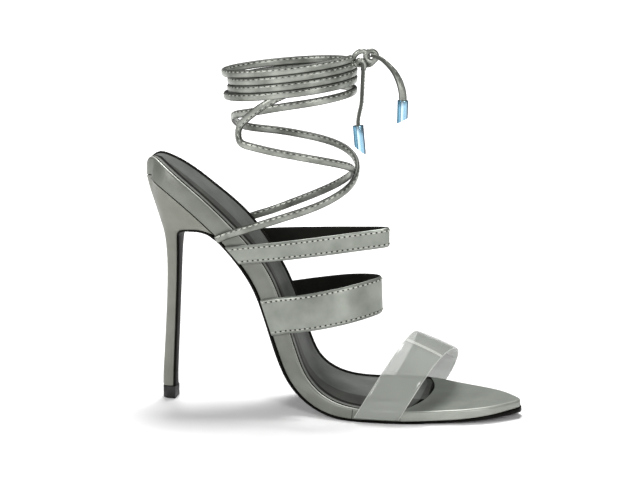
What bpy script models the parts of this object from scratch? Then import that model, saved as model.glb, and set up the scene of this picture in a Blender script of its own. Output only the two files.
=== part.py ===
"""Strappy heeled sandal, a right shoe, as separate pieces.

Metres, +Z up. The origin is the middle of the heel tip's ground face. +X points to the toe, and -Y is
the outer side of the foot. The sole is drawn as a line in side view, the footbed's rim, with a width on
each side, a thickness and a lean at each station; the straps, sock, outsole and heel are all worked out
from that one form.
"""

import math
from typing import NamedTuple

import bmesh
import bpy
import numpy as np
from mathutils import Matrix, Vector

OUTER = -1.0
INNER = 1.0

# Driving sizes of the sole.
SHOE_LENGTH = 0.1955
SEAT_OVERHANG = 0.0110
SEAT_RISE = 0.1211
SEAT_WIDTH = 0.0420
BALL_WIDTH = 0.0715
SEAT_BOARD = 0.0086
BALL_BOARD = 0.0042
OUTSOLE = 0.0022
WAIST_SOLE = 0.0015
BREAST_COVER = 0.0009
RIM = 0.0017
SOCK_THICKNESS = 0.0016
SOCK_DISH = 0.0012
SOCK_END = 0.756
SOCK_END_BOW = {OUTER: 0.0098, INNER: 0.0060}
CLEARANCE = 0.0003
EDGE = 0.0008
HEEL_END = 0.032
TOE_END = 0.014
CORNER = 0.0009
RECESS_OPENING = 0.0030
DISH_SHARE = 0.35
DISH_EDGE = 0.0002
SOCK_PEAK = 0.4
FIRST_TURN = 0.05
SOCK_FIRST_TURN = 0.10
QUARTER = math.pi / 2.0

# Heel and its tip.
TIP_HEIGHT = 0.0066
TIP_DEPTH = 0.0074
TIP_WIDTH = 0.0088
STEM_WIDTH = 0.0084
LIP_REACH = 0.0350
SEAT_PLACE = 0.35
LIP_GAP = 0.004
LIP_SPREAD = 0.020

# Straps: thickness, where each edge leaves the rim, how far it reaches over the foot, and its tilt.
STRAP_THICKNESS = 0.0018
CLEAR_THICKNESS = 0.0010
UPPER_REACH = (0.0706, 0.0636)
UPPER_TILT = 6.6
INSTEP_REACH = (0.0508, 0.0452)
INSTEP_TILT = 11.0
VAMP_REACH = (0.0383, 0.0285)
VAMP_TILT = 59.3

# Ankle lace and the ring that it winds round the ankle.
LACE_WIDTH = 0.0036
LACE_THICKNESS = 0.0020
LACE_SPACING = 0.0068
LACE_SIDES = 8
LACE_LOW = 0.25
RING_X = 0.0647
RING_LENGTH = 0.0662
RING_WIDTH = 0.0510
RING_LIFT = 0.0384
RING_PITCH = 0.00393
RING_SLOPE = 0.113
RING_TURNS = 3
RING_STEP = 13.0
RING_LAST = 79.0
ANCHOR_X = 0.0375

# Knot, hanging ends and aglets.
END_DIAMETER = 0.0026
LOOP_RADIUS = 0.0024
LOOP_THICKNESS = 0.0026
KNOT_LOOPS = (((0.0041, 0.0000, -0.0001), 12.0), ((0.0087, 0.0004, 0.0004), -14.0))
AGLET_TOP = 0.0050
AGLET_FOOT = 0.0057
AGLET_LENGTH = 0.0145
AGLET_SLANT = 0.0040
AGLET_SIDES = 14


class BedRow(NamedTuple):
    """One station of the footbed: places as shares of the named sizes beside them."""

    along: float
    rise: float
    width: float
    outer: float
    inner: float
    board: float
    thick: float
    lean: float


BED_ROWS = (
    BedRow(0.000, 0.967, SEAT_WIDTH, 0.55, 0.75, SEAT_BOARD, 0.70, 0.00),
    BedRow(0.021, 1.008, SEAT_WIDTH, 0.58, 0.76, SEAT_BOARD, 1.12, 0.40),
    BedRow(0.049, 0.994, SEAT_WIDTH, 0.72, 0.82, SEAT_BOARD, 1.17, 0.76),
    BedRow(0.101, 0.938, SEAT_WIDTH, 0.84, 0.90, SEAT_BOARD, 1.10, 0.95),
    BedRow(0.169, 0.853, SEAT_WIDTH, 0.90, 0.96, SEAT_BOARD, 1.08, 0.95),
    BedRow(0.248, 0.739, SEAT_WIDTH, 0.95, 1.05, SEAT_BOARD, 1.04, 1.00),
    BedRow(0.310, 0.619, SEAT_WIDTH, 0.79, 0.96, SEAT_BOARD, 1.08, 1.00),
    BedRow(0.355, 0.498, SEAT_WIDTH, 0.75, 0.96, SEAT_BOARD, 1.08, 1.00),
    BedRow(0.390, 0.347, SEAT_WIDTH, 0.81, 1.05, SEAT_BOARD, 1.05, 1.00),
    BedRow(0.420, 0.198, SEAT_WIDTH, 0.84, 1.11, SEAT_BOARD, 1.00, 1.00),
    BedRow(0.445, 0.111, BALL_WIDTH, 0.53, 0.71, SEAT_BOARD, 0.91, 1.00),
    BedRow(0.490, 0.045, BALL_WIDTH, 0.64, 0.85, BALL_BOARD, 1.60, 1.00),
    BedRow(0.547, 0.012, BALL_WIDTH, 0.76, 1.01, BALL_BOARD, 1.33, 1.00),
    BedRow(0.619, 0.001, BALL_WIDTH, 0.83, 1.15, BALL_BOARD, 1.05, 1.00),
    BedRow(0.721, 0.000, BALL_WIDTH, 0.80, 1.18, BALL_BOARD, 1.00, 1.00),
    BedRow(0.816, 0.004, BALL_WIDTH, 0.68, 0.90, BALL_BOARD, 1.00, 1.00),
    BedRow(0.905, 0.011, BALL_WIDTH, 0.53, 0.60, BALL_BOARD, 0.98, 1.00),
    BedRow(0.956, 0.016, BALL_WIDTH, 0.37, 0.375, BALL_BOARD, 0.95, 1.00),
    BedRow(1.000, 0.021, BALL_WIDTH, 0.25, 0.17, BALL_BOARD, 0.93, 1.00),
)


class HeelRow(NamedTuple):
    """One ring of the heel, from the tip up: shares of the way from the tip to the seat and lip."""

    back_x: float
    back_z: float
    front_x: float
    front_z: float
    spread: float
    seat_shape: float


HEEL_ROWS = (
    HeelRow(0.00, 0.000, 0.000, 0.000, 0.010, 0.0),
    HeelRow(-0.03, 0.074, 0.006, 0.102, -0.014, 0.0),
    HeelRow(-0.22, 0.258, 0.045, 0.353, -0.010, 0.0),
    HeelRow(-0.38, 0.468, 0.087, 0.631, 0.012, 0.0),
    HeelRow(-0.40, 0.615, 0.110, 0.815, 0.055, 0.0),
    HeelRow(-0.27, 0.720, 0.126, 0.922, 0.150, 0.1),
    HeelRow(-0.06, 0.780, 0.164, 0.972, 0.300, 0.2),
    HeelRow(0.19, 0.835, 0.280, 0.998, 0.510, 0.4),
    HeelRow(0.47, 0.890, 0.470, 1.012, 0.720, 0.6),
    HeelRow(0.76, 0.945, 0.730, 1.018, 0.890, 0.8),
    HeelRow(1.00, 1.000, 1.000, 1.000, 1.000, 1.0),
)

# Heel outline from the flat front to the round back, the same places on every ring.
HEEL_SIDE = (0.0, 0.06, 0.16, 0.30, 0.45, 0.60, 0.70, 0.78, 0.84, 0.89, 0.93, 0.96, 0.985)
HEEL_FLAT = 0.35


class ArchRow(NamedTuple):
    """One place on a strap's way over the foot: shares of its reach and of its width at the rim."""

    reach: float
    side: float


UPPER_ARCH = (
    ArchRow(0.00, -1.00),
    ArchRow(0.10, -0.98),
    ArchRow(0.26, -0.89),
    ArchRow(0.46, -0.71),
    ArchRow(0.66, -0.49),
    ArchRow(0.85, -0.26),
    ArchRow(0.96, -0.12),
    ArchRow(1.00, 0.00),
    ArchRow(0.96, 0.12),
    ArchRow(0.85, 0.26),
    ArchRow(0.66, 0.47),
    ArchRow(0.46, 0.67),
    ArchRow(0.26, 0.85),
    ArchRow(0.10, 0.96),
    ArchRow(0.00, 1.00),
)
INSTEP_ARCH = (
    ArchRow(0.00, -1.00),
    ArchRow(0.10, -1.07),
    ArchRow(0.27, -1.12),
    ArchRow(0.48, -1.05),
    ArchRow(0.68, -0.86),
    ArchRow(0.84, -0.57),
    ArchRow(0.95, -0.28),
    ArchRow(1.00, 0.00),
    ArchRow(0.95, 0.25),
    ArchRow(0.84, 0.49),
    ArchRow(0.68, 0.73),
    ArchRow(0.48, 0.89),
    ArchRow(0.27, 0.97),
    ArchRow(0.10, 1.00),
    ArchRow(0.00, 1.00),
)
VAMP_ARCH = (
    ArchRow(0.00, -1.00),
    ArchRow(0.14, -1.00),
    ArchRow(0.34, -0.96),
    ArchRow(0.57, -0.87),
    ArchRow(0.77, -0.70),
    ArchRow(0.91, -0.47),
    ArchRow(0.98, -0.22),
    ArchRow(1.00, 0.03),
    ArchRow(0.97, 0.28),
    ArchRow(0.89, 0.51),
    ArchRow(0.74, 0.71),
    ArchRow(0.52, 0.87),
    ArchRow(0.28, 0.97),
    ArchRow(0.11, 1.00),
    ArchRow(0.00, 1.00),
)

# Where the straps' two edges cross the rim, from the seat's back, as shares of the shoe's length.
UPPER_EDGES = ((0.288, 0.288), (0.323, 0.323))
INSTEP_EDGES = ((0.370, 0.370), (0.401, 0.401))
VAMP_EDGES = ((0.599, 0.629), (0.717, 0.772))


class LaceRow(NamedTuple):
    """One place on a lace: shares of half the ring's length and width, and of the rise to the ring."""

    along: float
    side: float
    rise: float


OUTER_LACE = (
    LaceRow(-1.030, -0.820, 0.000),
    LaceRow(-0.840, -0.850, 0.036),
    LaceRow(-0.643, -0.925, 0.070),
    LaceRow(-0.320, -0.955, 0.120),
    LaceRow(0.148, -0.945, 0.192),
    LaceRow(0.595, -0.820, 0.264),
    LaceRow(0.867, -0.590, 0.326),
    LaceRow(0.985, -0.340, 0.368),
    LaceRow(1.040, -0.080, 0.420),
    LaceRow(1.020, 0.180, 0.468),
    LaceRow(0.930, 0.450, 0.512),
    LaceRow(0.740, 0.706, 0.555),
    LaceRow(0.390, 0.900, 0.595),
    LaceRow(0.020, 0.980, 0.620),
    LaceRow(-0.430, 0.965, 0.645),
    LaceRow(-0.720, 0.760, 0.668),
    LaceRow(-0.860, 0.420, 0.707),
    LaceRow(-0.890, 0.020, 0.762),
    LaceRow(-0.840, -0.330, 0.808),
    LaceRow(-0.700, -0.630, 0.842),
    LaceRow(-0.370, -0.890, 0.880),
    LaceRow(0.000, -0.995, 0.917),
    LaceRow(0.420, -0.925, 0.947),
    LaceRow(0.800, -0.610, 0.972),
    LaceRow(0.985, -0.150, 0.985),
    LaceRow(0.930, 0.370, 0.984),
    LaceRow(0.600, 0.800, 0.974),
    LaceRow(0.100, 0.995, 0.956),
    LaceRow(-0.500, 0.865, 0.940),
    LaceRow(-0.900, 0.435, 0.934),
    LaceRow(-1.000, 0.000, 0.938),
    LaceRow(-0.880, -0.475, 0.948),
    LaceRow(-0.500, -0.865, 0.970),
)
INNER_LACE = (
    LaceRow(-1.030, 0.860, 0.000),
    LaceRow(-0.782, 0.880, 0.043),
    LaceRow(-0.490, 0.960, 0.085),
    LaceRow(-0.172, 0.955, 0.141),
    LaceRow(0.163, 0.880, 0.206),
    LaceRow(0.514, 0.690, 0.284),
    LaceRow(0.795, 0.420, 0.364),
    LaceRow(0.955, 0.120, 0.432),
    LaceRow(0.965, -0.260, 0.488),
    LaceRow(0.743, -0.720, 0.545),
    LaceRow(0.311, -0.965, 0.590),
    LaceRow(-0.160, -0.975, 0.622),
    LaceRow(-0.498, -0.890, 0.645),
    LaceRow(-0.655, -0.790, 0.668),
    LaceRow(-0.690, -0.735, 0.705),
    LaceRow(-0.680, -0.740, 0.748),
    LaceRow(-0.610, -0.810, 0.795),
    LaceRow(-0.490, -0.890, 0.845),
    LaceRow(-0.330, -0.955, 0.900),
    LaceRow(-0.130, -1.000, 0.955),
    LaceRow(0.060, -1.005, 0.985),
)

# Hanging ends: points from the knot down, in metres from the ring's front at its top turn.
FRONT_END = (
    (0.0044, -0.0004, -0.0041),
    (0.0047, -0.0016, -0.0070),
    (0.0049, -0.0032, -0.0120),
    (0.0047, -0.0040, -0.0186),
    (0.0041, -0.0040, -0.0247),
    (0.0028, -0.0040, -0.0304),
    (0.0026, -0.0040, -0.0335),
)
FRONT_AGLET = (0.0008, 0.0000, -0.0100)
SIDE_END = (
    (0.0131, 0.0005, -0.0002),
    (0.0149, 0.0005, -0.0018),
    (0.0176, 0.0005, -0.0043),
    (0.0207, 0.0005, -0.0078),
    (0.0230, 0.0005, -0.0126),
    (0.0245, 0.0005, -0.0176),
    (0.0248, 0.0005, -0.0208),
)
SIDE_AGLET = (-0.0004, 0.0000, -0.0100)


def spline(knots, values, at):
    """Reads a natural cubic spline through the values at the knots."""
    k = np.asarray(knots, float)
    v = np.asarray(values, float)
    h = np.diff(k)
    count = len(k)
    system = np.eye(count)
    right = np.zeros(count)
    for i in range(1, count - 1):
        system[i, i - 1 : i + 2] = h[i - 1], 2.0 * (h[i - 1] + h[i]), h[i]
        right[i] = 6.0 * ((v[i + 1] - v[i]) / h[i] - (v[i] - v[i - 1]) / h[i - 1])
    bend = np.linalg.solve(system, right)
    at = np.clip(np.asarray(at, float), k[0], k[-1])
    i = np.clip(np.searchsorted(k, at) - 1, 0, count - 2)
    t = (at - k[i]) / h[i]
    straight = v[i] * (1.0 - t) + v[i + 1] * t
    curve = ((1.0 - t) ** 3 - (1.0 - t)) * bend[i] + (t**3 - t) * bend[i + 1]
    return straight + curve * h[i] ** 2 / 6.0


def chords(points):
    """Distances along a row of points, from 0 at the first."""
    steps = np.linalg.norm(np.diff(np.asarray(points, float), axis=0), axis=1)
    return np.concatenate([[0.0], np.cumsum(steps)])


def smooth_path(points, count):
    """Evenly spaced points on one smooth curve through the given points."""
    points = np.asarray(points, float)
    knots = chords(points)
    at = np.linspace(0.0, knots[-1], count)
    return np.stack([spline(knots, points[:, i], at) for i in range(points.shape[1])], axis=1)


class Bed:
    """The footbed's form, read at a distance along its rim from the back of the seat."""

    def __init__(self, rows):
        rim_at_ball = OUTSOLE + CLEARANCE + BALL_BOARD
        self.x = [row.along * SHOE_LENGTH - SEAT_OVERHANG for row in rows]
        self.z = [row.rise * SEAT_RISE + rim_at_ball for row in rows]
        self.sides = {
            OUTER: [row.outer * row.width / 2.0 for row in rows],
            INNER: [row.inner * row.width / 2.0 for row in rows],
        }
        self.thick = [row.thick * row.board for row in rows]
        self.lean = [row.lean for row in rows]
        self.knots = chords(np.stack([self.x, self.z], axis=1))
        self.length = self.knots[-1]
        self.fine = np.linspace(0.0, self.length, 800)
        self.fine_x = spline(self.knots, self.x, self.fine)

    def rim(self, s):
        """The rim line's point in side view, as x and z."""
        return np.stack([spline(self.knots, self.x, s), spline(self.knots, self.z, s)], axis=-1)

    def up(self, s):
        """Unit direction from the underside to the rim in side view."""
        step = 1e-4
        ahead = self.rim(np.minimum(s + step, self.length))
        behind = self.rim(np.maximum(s - step, 0.0))
        run = ahead - behind
        slope = np.arctan2(-run[..., 1], run[..., 0])
        slope = np.where(np.asarray(s) < HEEL_END, np.maximum(slope, 0.0), slope) * spline(self.knots, self.lean, s)
        return np.stack([np.sin(slope), np.cos(slope)], axis=-1)

    def board(self, s):
        """Thickness of the wrapped board."""
        return spline(self.knots, self.thick, s)

    def half(self, s, side, inset=0.0):
        """Half width on one side, rounded in at the seat's back and at the toe."""
        s = np.asarray(s, float)
        wide = spline(self.knots, self.sides[side], s) - inset
        back = np.clip((s - inset) / (HEEL_END - inset), 0.0, 1.0)
        toe = np.clip((self.length - s - inset) / (TOE_END - inset), 0.0, 1.0)
        return wide * np.sqrt(1.0 - (1.0 - back) ** 2) * np.sqrt(1.0 - (1.0 - toe) ** 2)

    def middle(self, s):
        """Centre line of the outline at the very ends, where it narrows to nothing."""
        halves = [spline(self.knots, self.sides[side], s) for side in (OUTER, INNER)]
        toe = np.clip(1.0 - (self.length - np.asarray(s, float)) / TOE_END, 0.0, 1.0)
        return (halves[1] - halves[0]) / 2.0 * (1.0 - np.sqrt(1.0 - toe**2))

    def at_x(self, x):
        """Station whose rim has the given x."""
        return float(np.interp(x, self.fine_x, self.fine))

    def at_share(self, share):
        """Station at a share of the shoe's length."""
        return self.at_x(share * SHOE_LENGTH - SEAT_OVERHANG)

    def point(self, s, y, depth):
        """A point in space: station, sideways place, and depth under the rim."""
        flat = self.rim(s) - self.up(s) * np.asarray(depth, float)[..., None]
        shift = self.middle(s)
        return np.stack([flat[..., 0], np.broadcast_to(y + shift, flat[..., 0].shape), flat[..., 1]], axis=-1)

    def station_of(self, x, z):
        """Station and depth of a point in side view, beside the footbed."""
        rim = self.rim(self.fine)
        up = self.up(self.fine)
        off = np.array([x, z]) - rim
        across = np.abs(off[:, 0] * up[:, 1] - off[:, 1] * up[:, 0]) + 1e-3 * np.linalg.norm(off, axis=1)
        best = int(np.argmin(across))
        return float(self.fine[best]), float(-(off[best] @ up[best]))

    def beside(self, point, half_thickness):
        """Moves a point sideways, where it lies below the rim, to clear the footbed's side."""
        x, y, z = point
        station, depth = self.station_of(x, z)
        if depth < -LACE_WIDTH:
            return np.array(point, float)
        side = OUTER if y < 0.0 else INNER
        least = float(self.half(station, side)) + CLEARANCE + half_thickness
        return np.array([x, side * max(abs(y), least), z])


BED = Bed(BED_ROWS)


def material(name, colour, roughness, metallic=0.0, alpha=1.0):
    """A Principled material of one colour."""
    made = bpy.data.materials.new(name)
    made.use_nodes = True
    shader = made.node_tree.nodes["Principled BSDF"]
    shader.inputs["Base Color"].default_value = (*colour, 1.0)
    shader.inputs["Roughness"].default_value = roughness
    shader.inputs["Metallic"].default_value = metallic
    shader.inputs["Alpha"].default_value = alpha
    return made


def make_object(name, points, faces, surface, home):
    """Makes one object from points and faces, with its faces turned outwards."""
    mesh = bpy.data.meshes.new(name)
    bm = bmesh.new()
    corners = [bm.verts.new(Vector(p)) for p in points]
    for face in faces:
        bm.faces.new([corners[i] for i in face])
    bmesh.ops.recalc_face_normals(bm, faces=bm.faces[:])
    bm.to_mesh(mesh)
    bm.free()
    mesh.shade_smooth()
    mesh.set_sharp_from_angle(angle=math.radians(35.0))
    made = bpy.data.objects.new(name, mesh)
    made.data.materials.append(surface)
    home.objects.link(made)
    return made


def ring_faces(rings, around):
    """Quads between each closed ring of points and the next."""
    faces = []
    for r in range(rings - 1):
        for i in range(around):
            j = (i + 1) % around
            faces.append((r * around + i, r * around + j, (r + 1) * around + j, (r + 1) * around + i))
    return faces


def loft(name, rings, surface, home):
    """A closed solid through rings of equal count, each end closed by one flat face."""
    rings = np.asarray(rings, float)
    count, around = rings.shape[:2]
    faces = ring_faces(count, around)
    faces.append(tuple(range(around)))
    faces.append(tuple(range((count - 1) * around, count * around)))
    return make_object(name, rings.reshape(-1, 3), faces, surface, home)


def slab(name, top, bottom, surface, home):
    """A closed solid between two grids of points with the same rows and columns."""
    rows, columns = top.shape[:2]
    points = np.concatenate([top.reshape(-1, 3), bottom.reshape(-1, 3)])
    under = rows * columns
    faces = []
    for r in range(rows - 1):
        for c in range(columns - 1):
            a = r * columns + c
            quad = (a, a + 1, a + columns + 1, a + columns)
            faces.append(quad)
            faces.append(tuple(under + i for i in reversed(quad)))
    edge = [(r, 0) for r in range(rows)] + [(rows - 1, c) for c in range(1, columns)]
    edge += [(r, columns - 1) for r in range(rows - 2, -1, -1)]
    edge += [(0, c) for c in range(columns - 2, 0, -1)]
    loop = [r * columns + c for r, c in edge]
    for i, a in enumerate(loop):
        b = loop[(i + 1) % len(loop)]
        faces.append((a, b, under + b, under + a))
    return make_object(name, points, faces, surface, home)


def stations(first, last, plain, rounded=12):
    """Stations along the bed, closer together where the outline rounds in."""
    turn = np.linspace(FIRST_TURN, 1.0, rounded) * QUARTER
    back = first + (HEEL_END - first) * (1.0 - np.cos(turn))
    toe = last - (TOE_END - (BED.length - last)) * (1.0 - np.cos(turn))
    between = np.linspace(back[-1], toe[-1], plain + 2)[1:-1]
    return np.concatenate([back, between, toe[::-1]])


def board_rings(at, inset, top, foot, corner):
    """Rings of a board with cut corners, between two depths under the rim."""
    rings = []
    for s in at:
        outer = -float(BED.half(s, OUTER, inset))
        inner = float(BED.half(s, INNER, inset))
        cut = min(corner, (inner - outer) / 4.0)
        low = foot(s)
        places = [
            (outer + cut, top),
            (inner - cut, top),
            (inner, top + cut),
            (inner, low - cut),
            (inner - cut, low),
            (outer + cut, low),
            (outer, low - cut),
            (outer, top + cut),
        ]
        rings.append([BED.point(s, y, depth) for y, depth in places])
    return rings


def sock_grid(inset, depth_at):
    """Points across the sock's place, with the round front edge under the clear strap."""
    front = BED.at_share(SOCK_END)
    start = front - BALL_WIDTH / 2.0
    turn = np.linspace(SOCK_FIRST_TURN, 1.0, 11) * QUARTER
    back = inset + (HEEL_END - inset) * (1.0 - np.cos(turn))
    at = np.concatenate([back, np.linspace(HEEL_END, front - inset, 30)[1:]])
    grid = []
    for s in at:
        row = []
        for share in np.linspace(-1.0, 1.0, 11):
            pull = max(0.0, (s - start) / (front - start))
            end = OUTER if share < SOCK_PEAK else INNER
            off = (share - SOCK_PEAK) / abs(end - SOCK_PEAK)
            place = s - pull * off**2 * SOCK_END_BOW[end]
            side = OUTER if share < 0.0 else INNER
            y = share * float(BED.half(place, side, inset))
            row.append(BED.point(place, y, depth_at(share)))
        grid.append(row)
    return np.array(grid)


def recess_depth():
    """Depth of the sock's place under the rim."""
    return CLEARANCE + SOCK_THICKNESS + SOCK_DISH


def footbed(surface, home, cutters):
    """The wrapped board with its rim, and the recess that the sock lies in."""
    at = stations(0.0, BED.length, 27)
    bed = loft("footbed", board_rings(at, 0.0, 0.0, BED.board, CORNER), surface, home)
    top = sock_grid(RIM, lambda share: -RECESS_OPENING)
    floor = sock_grid(RIM, lambda share: recess_depth())
    cut(bed, slab("sock_recess", top, floor, surface, cutters))
    return bed


def sock_top(share):
    """Depth of the sock's face under the rim: level at its edge, dished inside."""
    inside = min(1.0, (1.0 - abs(share)) / DISH_SHARE)
    return DISH_EDGE + SOCK_DISH * (3.0 * inside**2 - 2.0 * inside**3)


def sock(surface, home):
    """The padded sock, dished along its middle, its edge level with the rim."""
    inset = RIM + CLEARANCE
    top = sock_grid(inset, sock_top)
    foot = sock_grid(inset, lambda share: recess_depth() - CLEARANCE)
    return slab("sock", top, foot, surface, home)


def seat_station(place):
    """Station under the heel's top: the lip at place 0, the back of the seat at place 1."""
    return LIP_REACH_STATION * (1.0 - place)


LIP_REACH_STATION = BED.at_x(LIP_REACH)


def under_bed(s, gap):
    """A point of side view under the board, at a gap."""
    return BED.rim(s) - BED.up(s) * (BED.board(s) + gap)


def heel_column(field, at):
    """One column of the heel's table, read smoothly between its rings."""
    return spline(np.arange(len(HEEL_ROWS)), [getattr(row, field) for row in HEEL_ROWS], at)


def heel_line(at, end):
    """The heel's back or front line in side view, at a ring number."""
    if end == "back":
        tip_x = -TIP_DEPTH / 2.0
        seat = under_bed(0.0, CLEARANCE)
    else:
        tip_x = TIP_DEPTH / 2.0 - BREAST_COVER - CLEARANCE
        seat = under_bed(LIP_REACH_STATION, CLEARANCE)
    foot_z = TIP_HEIGHT + CLEARANCE
    x = tip_x + heel_column(end + "_x", at) * (seat[0] - tip_x)
    z = foot_z + heel_column(end + "_z", at) * (seat[1] - foot_z)
    return np.array([x, z])


def heel_half(at, place, side):
    """Half width of the heel at a ring and a place from its front to its back."""
    seat_half = float(BED.half(seat_station(SEAT_PLACE), side))
    ring_half = STEM_WIDTH / 2.0 + heel_column("spread", at) * (seat_half - STEM_WIDTH / 2.0)
    bend = max(0.0, (place - HEEL_FLAT) / (1.0 - HEEL_FLAT))
    stem_shape = math.sqrt(max(0.0, 1.0 - bend**2))
    seat_shape = float(BED.half(seat_station(place), side)) / seat_half
    weight = min(1.0, max(0.0, heel_column("seat_shape", at)))
    return ring_half * (stem_shape * (1.0 - weight) + seat_shape * weight)


def heel_ring(at):
    """One ring of the heel: front to back on the outer side, then back to front on the inner."""
    front = heel_line(at, "front")
    back = heel_line(at, "back")
    top = len(HEEL_ROWS) - 1
    rows = {OUTER: [], INNER: []}
    for place in (*HEEL_SIDE, 1.0):
        straight = front + (back - front) * place
        seat = under_bed(seat_station(place), CLEARANCE)
        weight = max(0.0, at - (top - 1)) ** 2
        flat = straight * (1.0 - weight) + seat * weight
        for side in (OUTER, INNER):
            half = heel_half(at, place, side) if place < 1.0 else 0.0
            rows[side].append((flat[0], side * half, flat[1]))
    return rows[OUTER] + rows[INNER][-2::-1]


def heel(surface, home):
    """The covered heel, its top spread under the seat and its front flat for the breast cover."""
    at = np.concatenate([[0.0, 1.0, 2.0, 3.0, 4.0], np.linspace(4.5, 10.0, 12)])
    rings = np.array([heel_ring(float(a)) for a in at])
    count, around = rings.shape[:2]
    faces = ring_faces(count, around)
    sides = len(HEEL_SIDE)
    for base in (0, (count - 1) * around):
        for i in range(sides):
            a, b = base + i, base + i + 1
            d, c = base + around - 1 - i, base + around - 2 - i
            faces.append((a, b, c, d) if b != c else (a, b, d))
    return make_object("heel", rings.reshape(-1, 3), faces, surface, home)


def heel_tip(surface, home):
    """The top piece that stands on the ground: flat in front, round behind."""
    rings = []
    for z in (0.0, TIP_HEIGHT):
        ring = {OUTER: [], INNER: []}
        for place in (*HEEL_SIDE, 1.0):
            bend = max(0.0, (place - HEEL_FLAT) / (1.0 - HEEL_FLAT))
            half = TIP_WIDTH / 2.0 * math.sqrt(1.0 - bend**2)
            x = TIP_DEPTH / 2.0 - place * TIP_DEPTH
            for side in (OUTER, INNER):
                ring[side].append((x, side * half, z))
        rings.append(ring[OUTER] + ring[INNER][-2::-1])
    return loft("heel_tip", rings, surface, home)


def outsole_line():
    """The outsole's upper face in side view, from the toe back to the lip and down the breast."""
    last = len(HEEL_ROWS) - 1
    sole_at = stations(0.0, BED.length + EDGE, 30)
    sole_at = np.concatenate([sole_at[sole_at > LIP_REACH_STATION + LIP_GAP], [BED.length]])
    sole_at = np.unique(np.minimum(sole_at, BED.length))[::-1]
    line = [(*under_bed(s, CLEARANCE), *sole_halves(s), sole_thickness(s)) for s in sole_at]
    for at in np.linspace(last, 0.0, 31)[1:]:
        x, z = heel_line(at, "front")
        halves = [heel_half(at, 0.0, side) for side in (OUTER, INNER)]
        share = min(1.0, (last - at) / 3.0)
        line.append((x, z, *halves, WAIST_SOLE + (BREAST_COVER - WAIST_SOLE) * share))
    return np.array(line)


def sole_thickness(s):
    """Full under the ball, thinner up the waist."""
    ball = BED.at_share(0.52)
    waist = BED.at_share(0.40)
    share = min(1.0, max(0.0, (s - waist) / (ball - waist)))
    return WAIST_SOLE + (OUTSOLE - WAIST_SOLE) * share


def sole_halves(s):
    """Half widths of the outsole, a little proud of the footbed."""
    room = min(EDGE, EDGE * (s - LIP_REACH_STATION) / LIP_SPREAD)
    near_toe = max(0.0, 1.0 - (BED.length - s) / TOE_END)
    spare = room * (1.0 + near_toe)
    shift = float(BED.middle(s))
    return float(BED.half(s, OUTER)) + spare - shift, float(BED.half(s, INNER)) + spare + shift


def outsole(surface, home):
    """One thin sheet: sole, waist, lip of the heel, and the cover down the heel's breast."""
    line = outsole_line()
    run = np.gradient(line[:, :2], axis=0)
    run /= np.linalg.norm(run, axis=1, keepdims=True)
    away = np.stack([-run[:, 1], run[:, 0]], axis=1)
    lip = int(np.argmax(line[:, 4] < WAIST_SOLE - 1e-6))
    rings = []
    for i, (x, z, outer, inner, thick) in enumerate(line):
        gap = CLEARANCE * min(1.0, max(0.0, (i - lip + 2) / 2.0))
        upper = np.array([x, z]) + away[i] * gap
        lower = np.array([x, z]) + away[i] * (gap + thick)
        lower[1] = max(0.0, lower[1])
        rings.append([
            (upper[0], -outer, upper[1]),
            (upper[0], inner, upper[1]),
            (lower[0], inner, lower[1]),
            (lower[0], -outer, lower[1]),
        ])
    return loft("outsole", rings, surface, home)


def arch_line(edge, reach, tilt, arch, thickness, count):
    """One line of a strap: up one side of the footbed, over the foot, and down the other side."""
    aim = np.array([math.cos(math.radians(tilt)), math.sin(math.radians(tilt))])
    at = {OUTER: BED.at_share(edge[0]), INNER: BED.at_share(edge[1])}
    rim = {side: BED.rim(at[side]) for side in at}
    room = CLEARANCE + thickness / 2.0
    base = {side: float(BED.half(at[side], side)) + room for side in at}
    points = []
    for row in arch:
        side = OUTER if row.side < 0.0 else INNER
        share = min(1.0, max(0.0, (row.side + 1.0) / 2.0)) ** 2
        flat = rim[OUTER] * (1.0 - share) + rim[INNER] * share + aim * row.reach * reach
        points.append([flat[0], row.side * base[side], flat[1]])
    over = smooth_path(points, count)
    feet = {side: rand_points(at[side], side, aim, room) for side in at}
    return np.concatenate([feet[OUTER], over, feet[INNER][::-1]])


def rand_points(s, side, aim, room):
    """Where a strap lies on the side of the footbed, from the outsole up to the rim."""
    drop = (float(BED.board(s)) - CLEARANCE / 2.0) / float(aim @ BED.up(s))
    points = []
    for share in (1.0, 0.66, 0.33):
        flat = BED.rim(s) - aim * drop * share
        station = BED.station_of(*flat)[0]
        points.append([flat[0], side * (float(BED.half(station, side)) + room), flat[1]])
    return np.array(points)


def strap(name, edges, reach, tilt, arch, thickness, columns, surface, home):
    """A band over the foot, its ends down both sides of the footbed to the outsole."""
    rear, front = np.array(edges)
    lines = []
    for share in np.linspace(0.0, 1.0, columns):
        edge = rear + (front - rear) * share
        far = reach[0] + (reach[1] - reach[0]) * share
        lines.append(arch_line(edge, far, tilt, arch, thickness, 30))
    middle = np.stack(lines, axis=1)
    normal = np.cross(np.gradient(middle, axis=0), np.gradient(middle, axis=1))
    normal /= np.linalg.norm(normal, axis=2, keepdims=True)
    return slab(name, middle + normal * thickness / 2.0, middle - normal * thickness / 2.0, surface, home)


def cut(target, cutter):
    """Takes the cutter's shape out of the target, and keeps the cutter out of the model."""
    step = target.modifiers.new("cut_" + cutter.name, "BOOLEAN")
    step.operation = "DIFFERENCE"
    step.solver = "EXACT"
    step.object = cutter
    hide_cutter(cutter)


def join(target, other):
    """Joins the other shape to the target as one solid."""
    step = target.modifiers.new("join_" + other.name, "BOOLEAN")
    step.operation = "UNION"
    step.solver = "EXACT"
    step.object = other
    hide_cutter(other)


def hide_cutter(cutter):
    """Marks an object as a tool and not a piece."""
    cutter.hide_render = True
    cutter.display_type = "WIRE"


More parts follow.
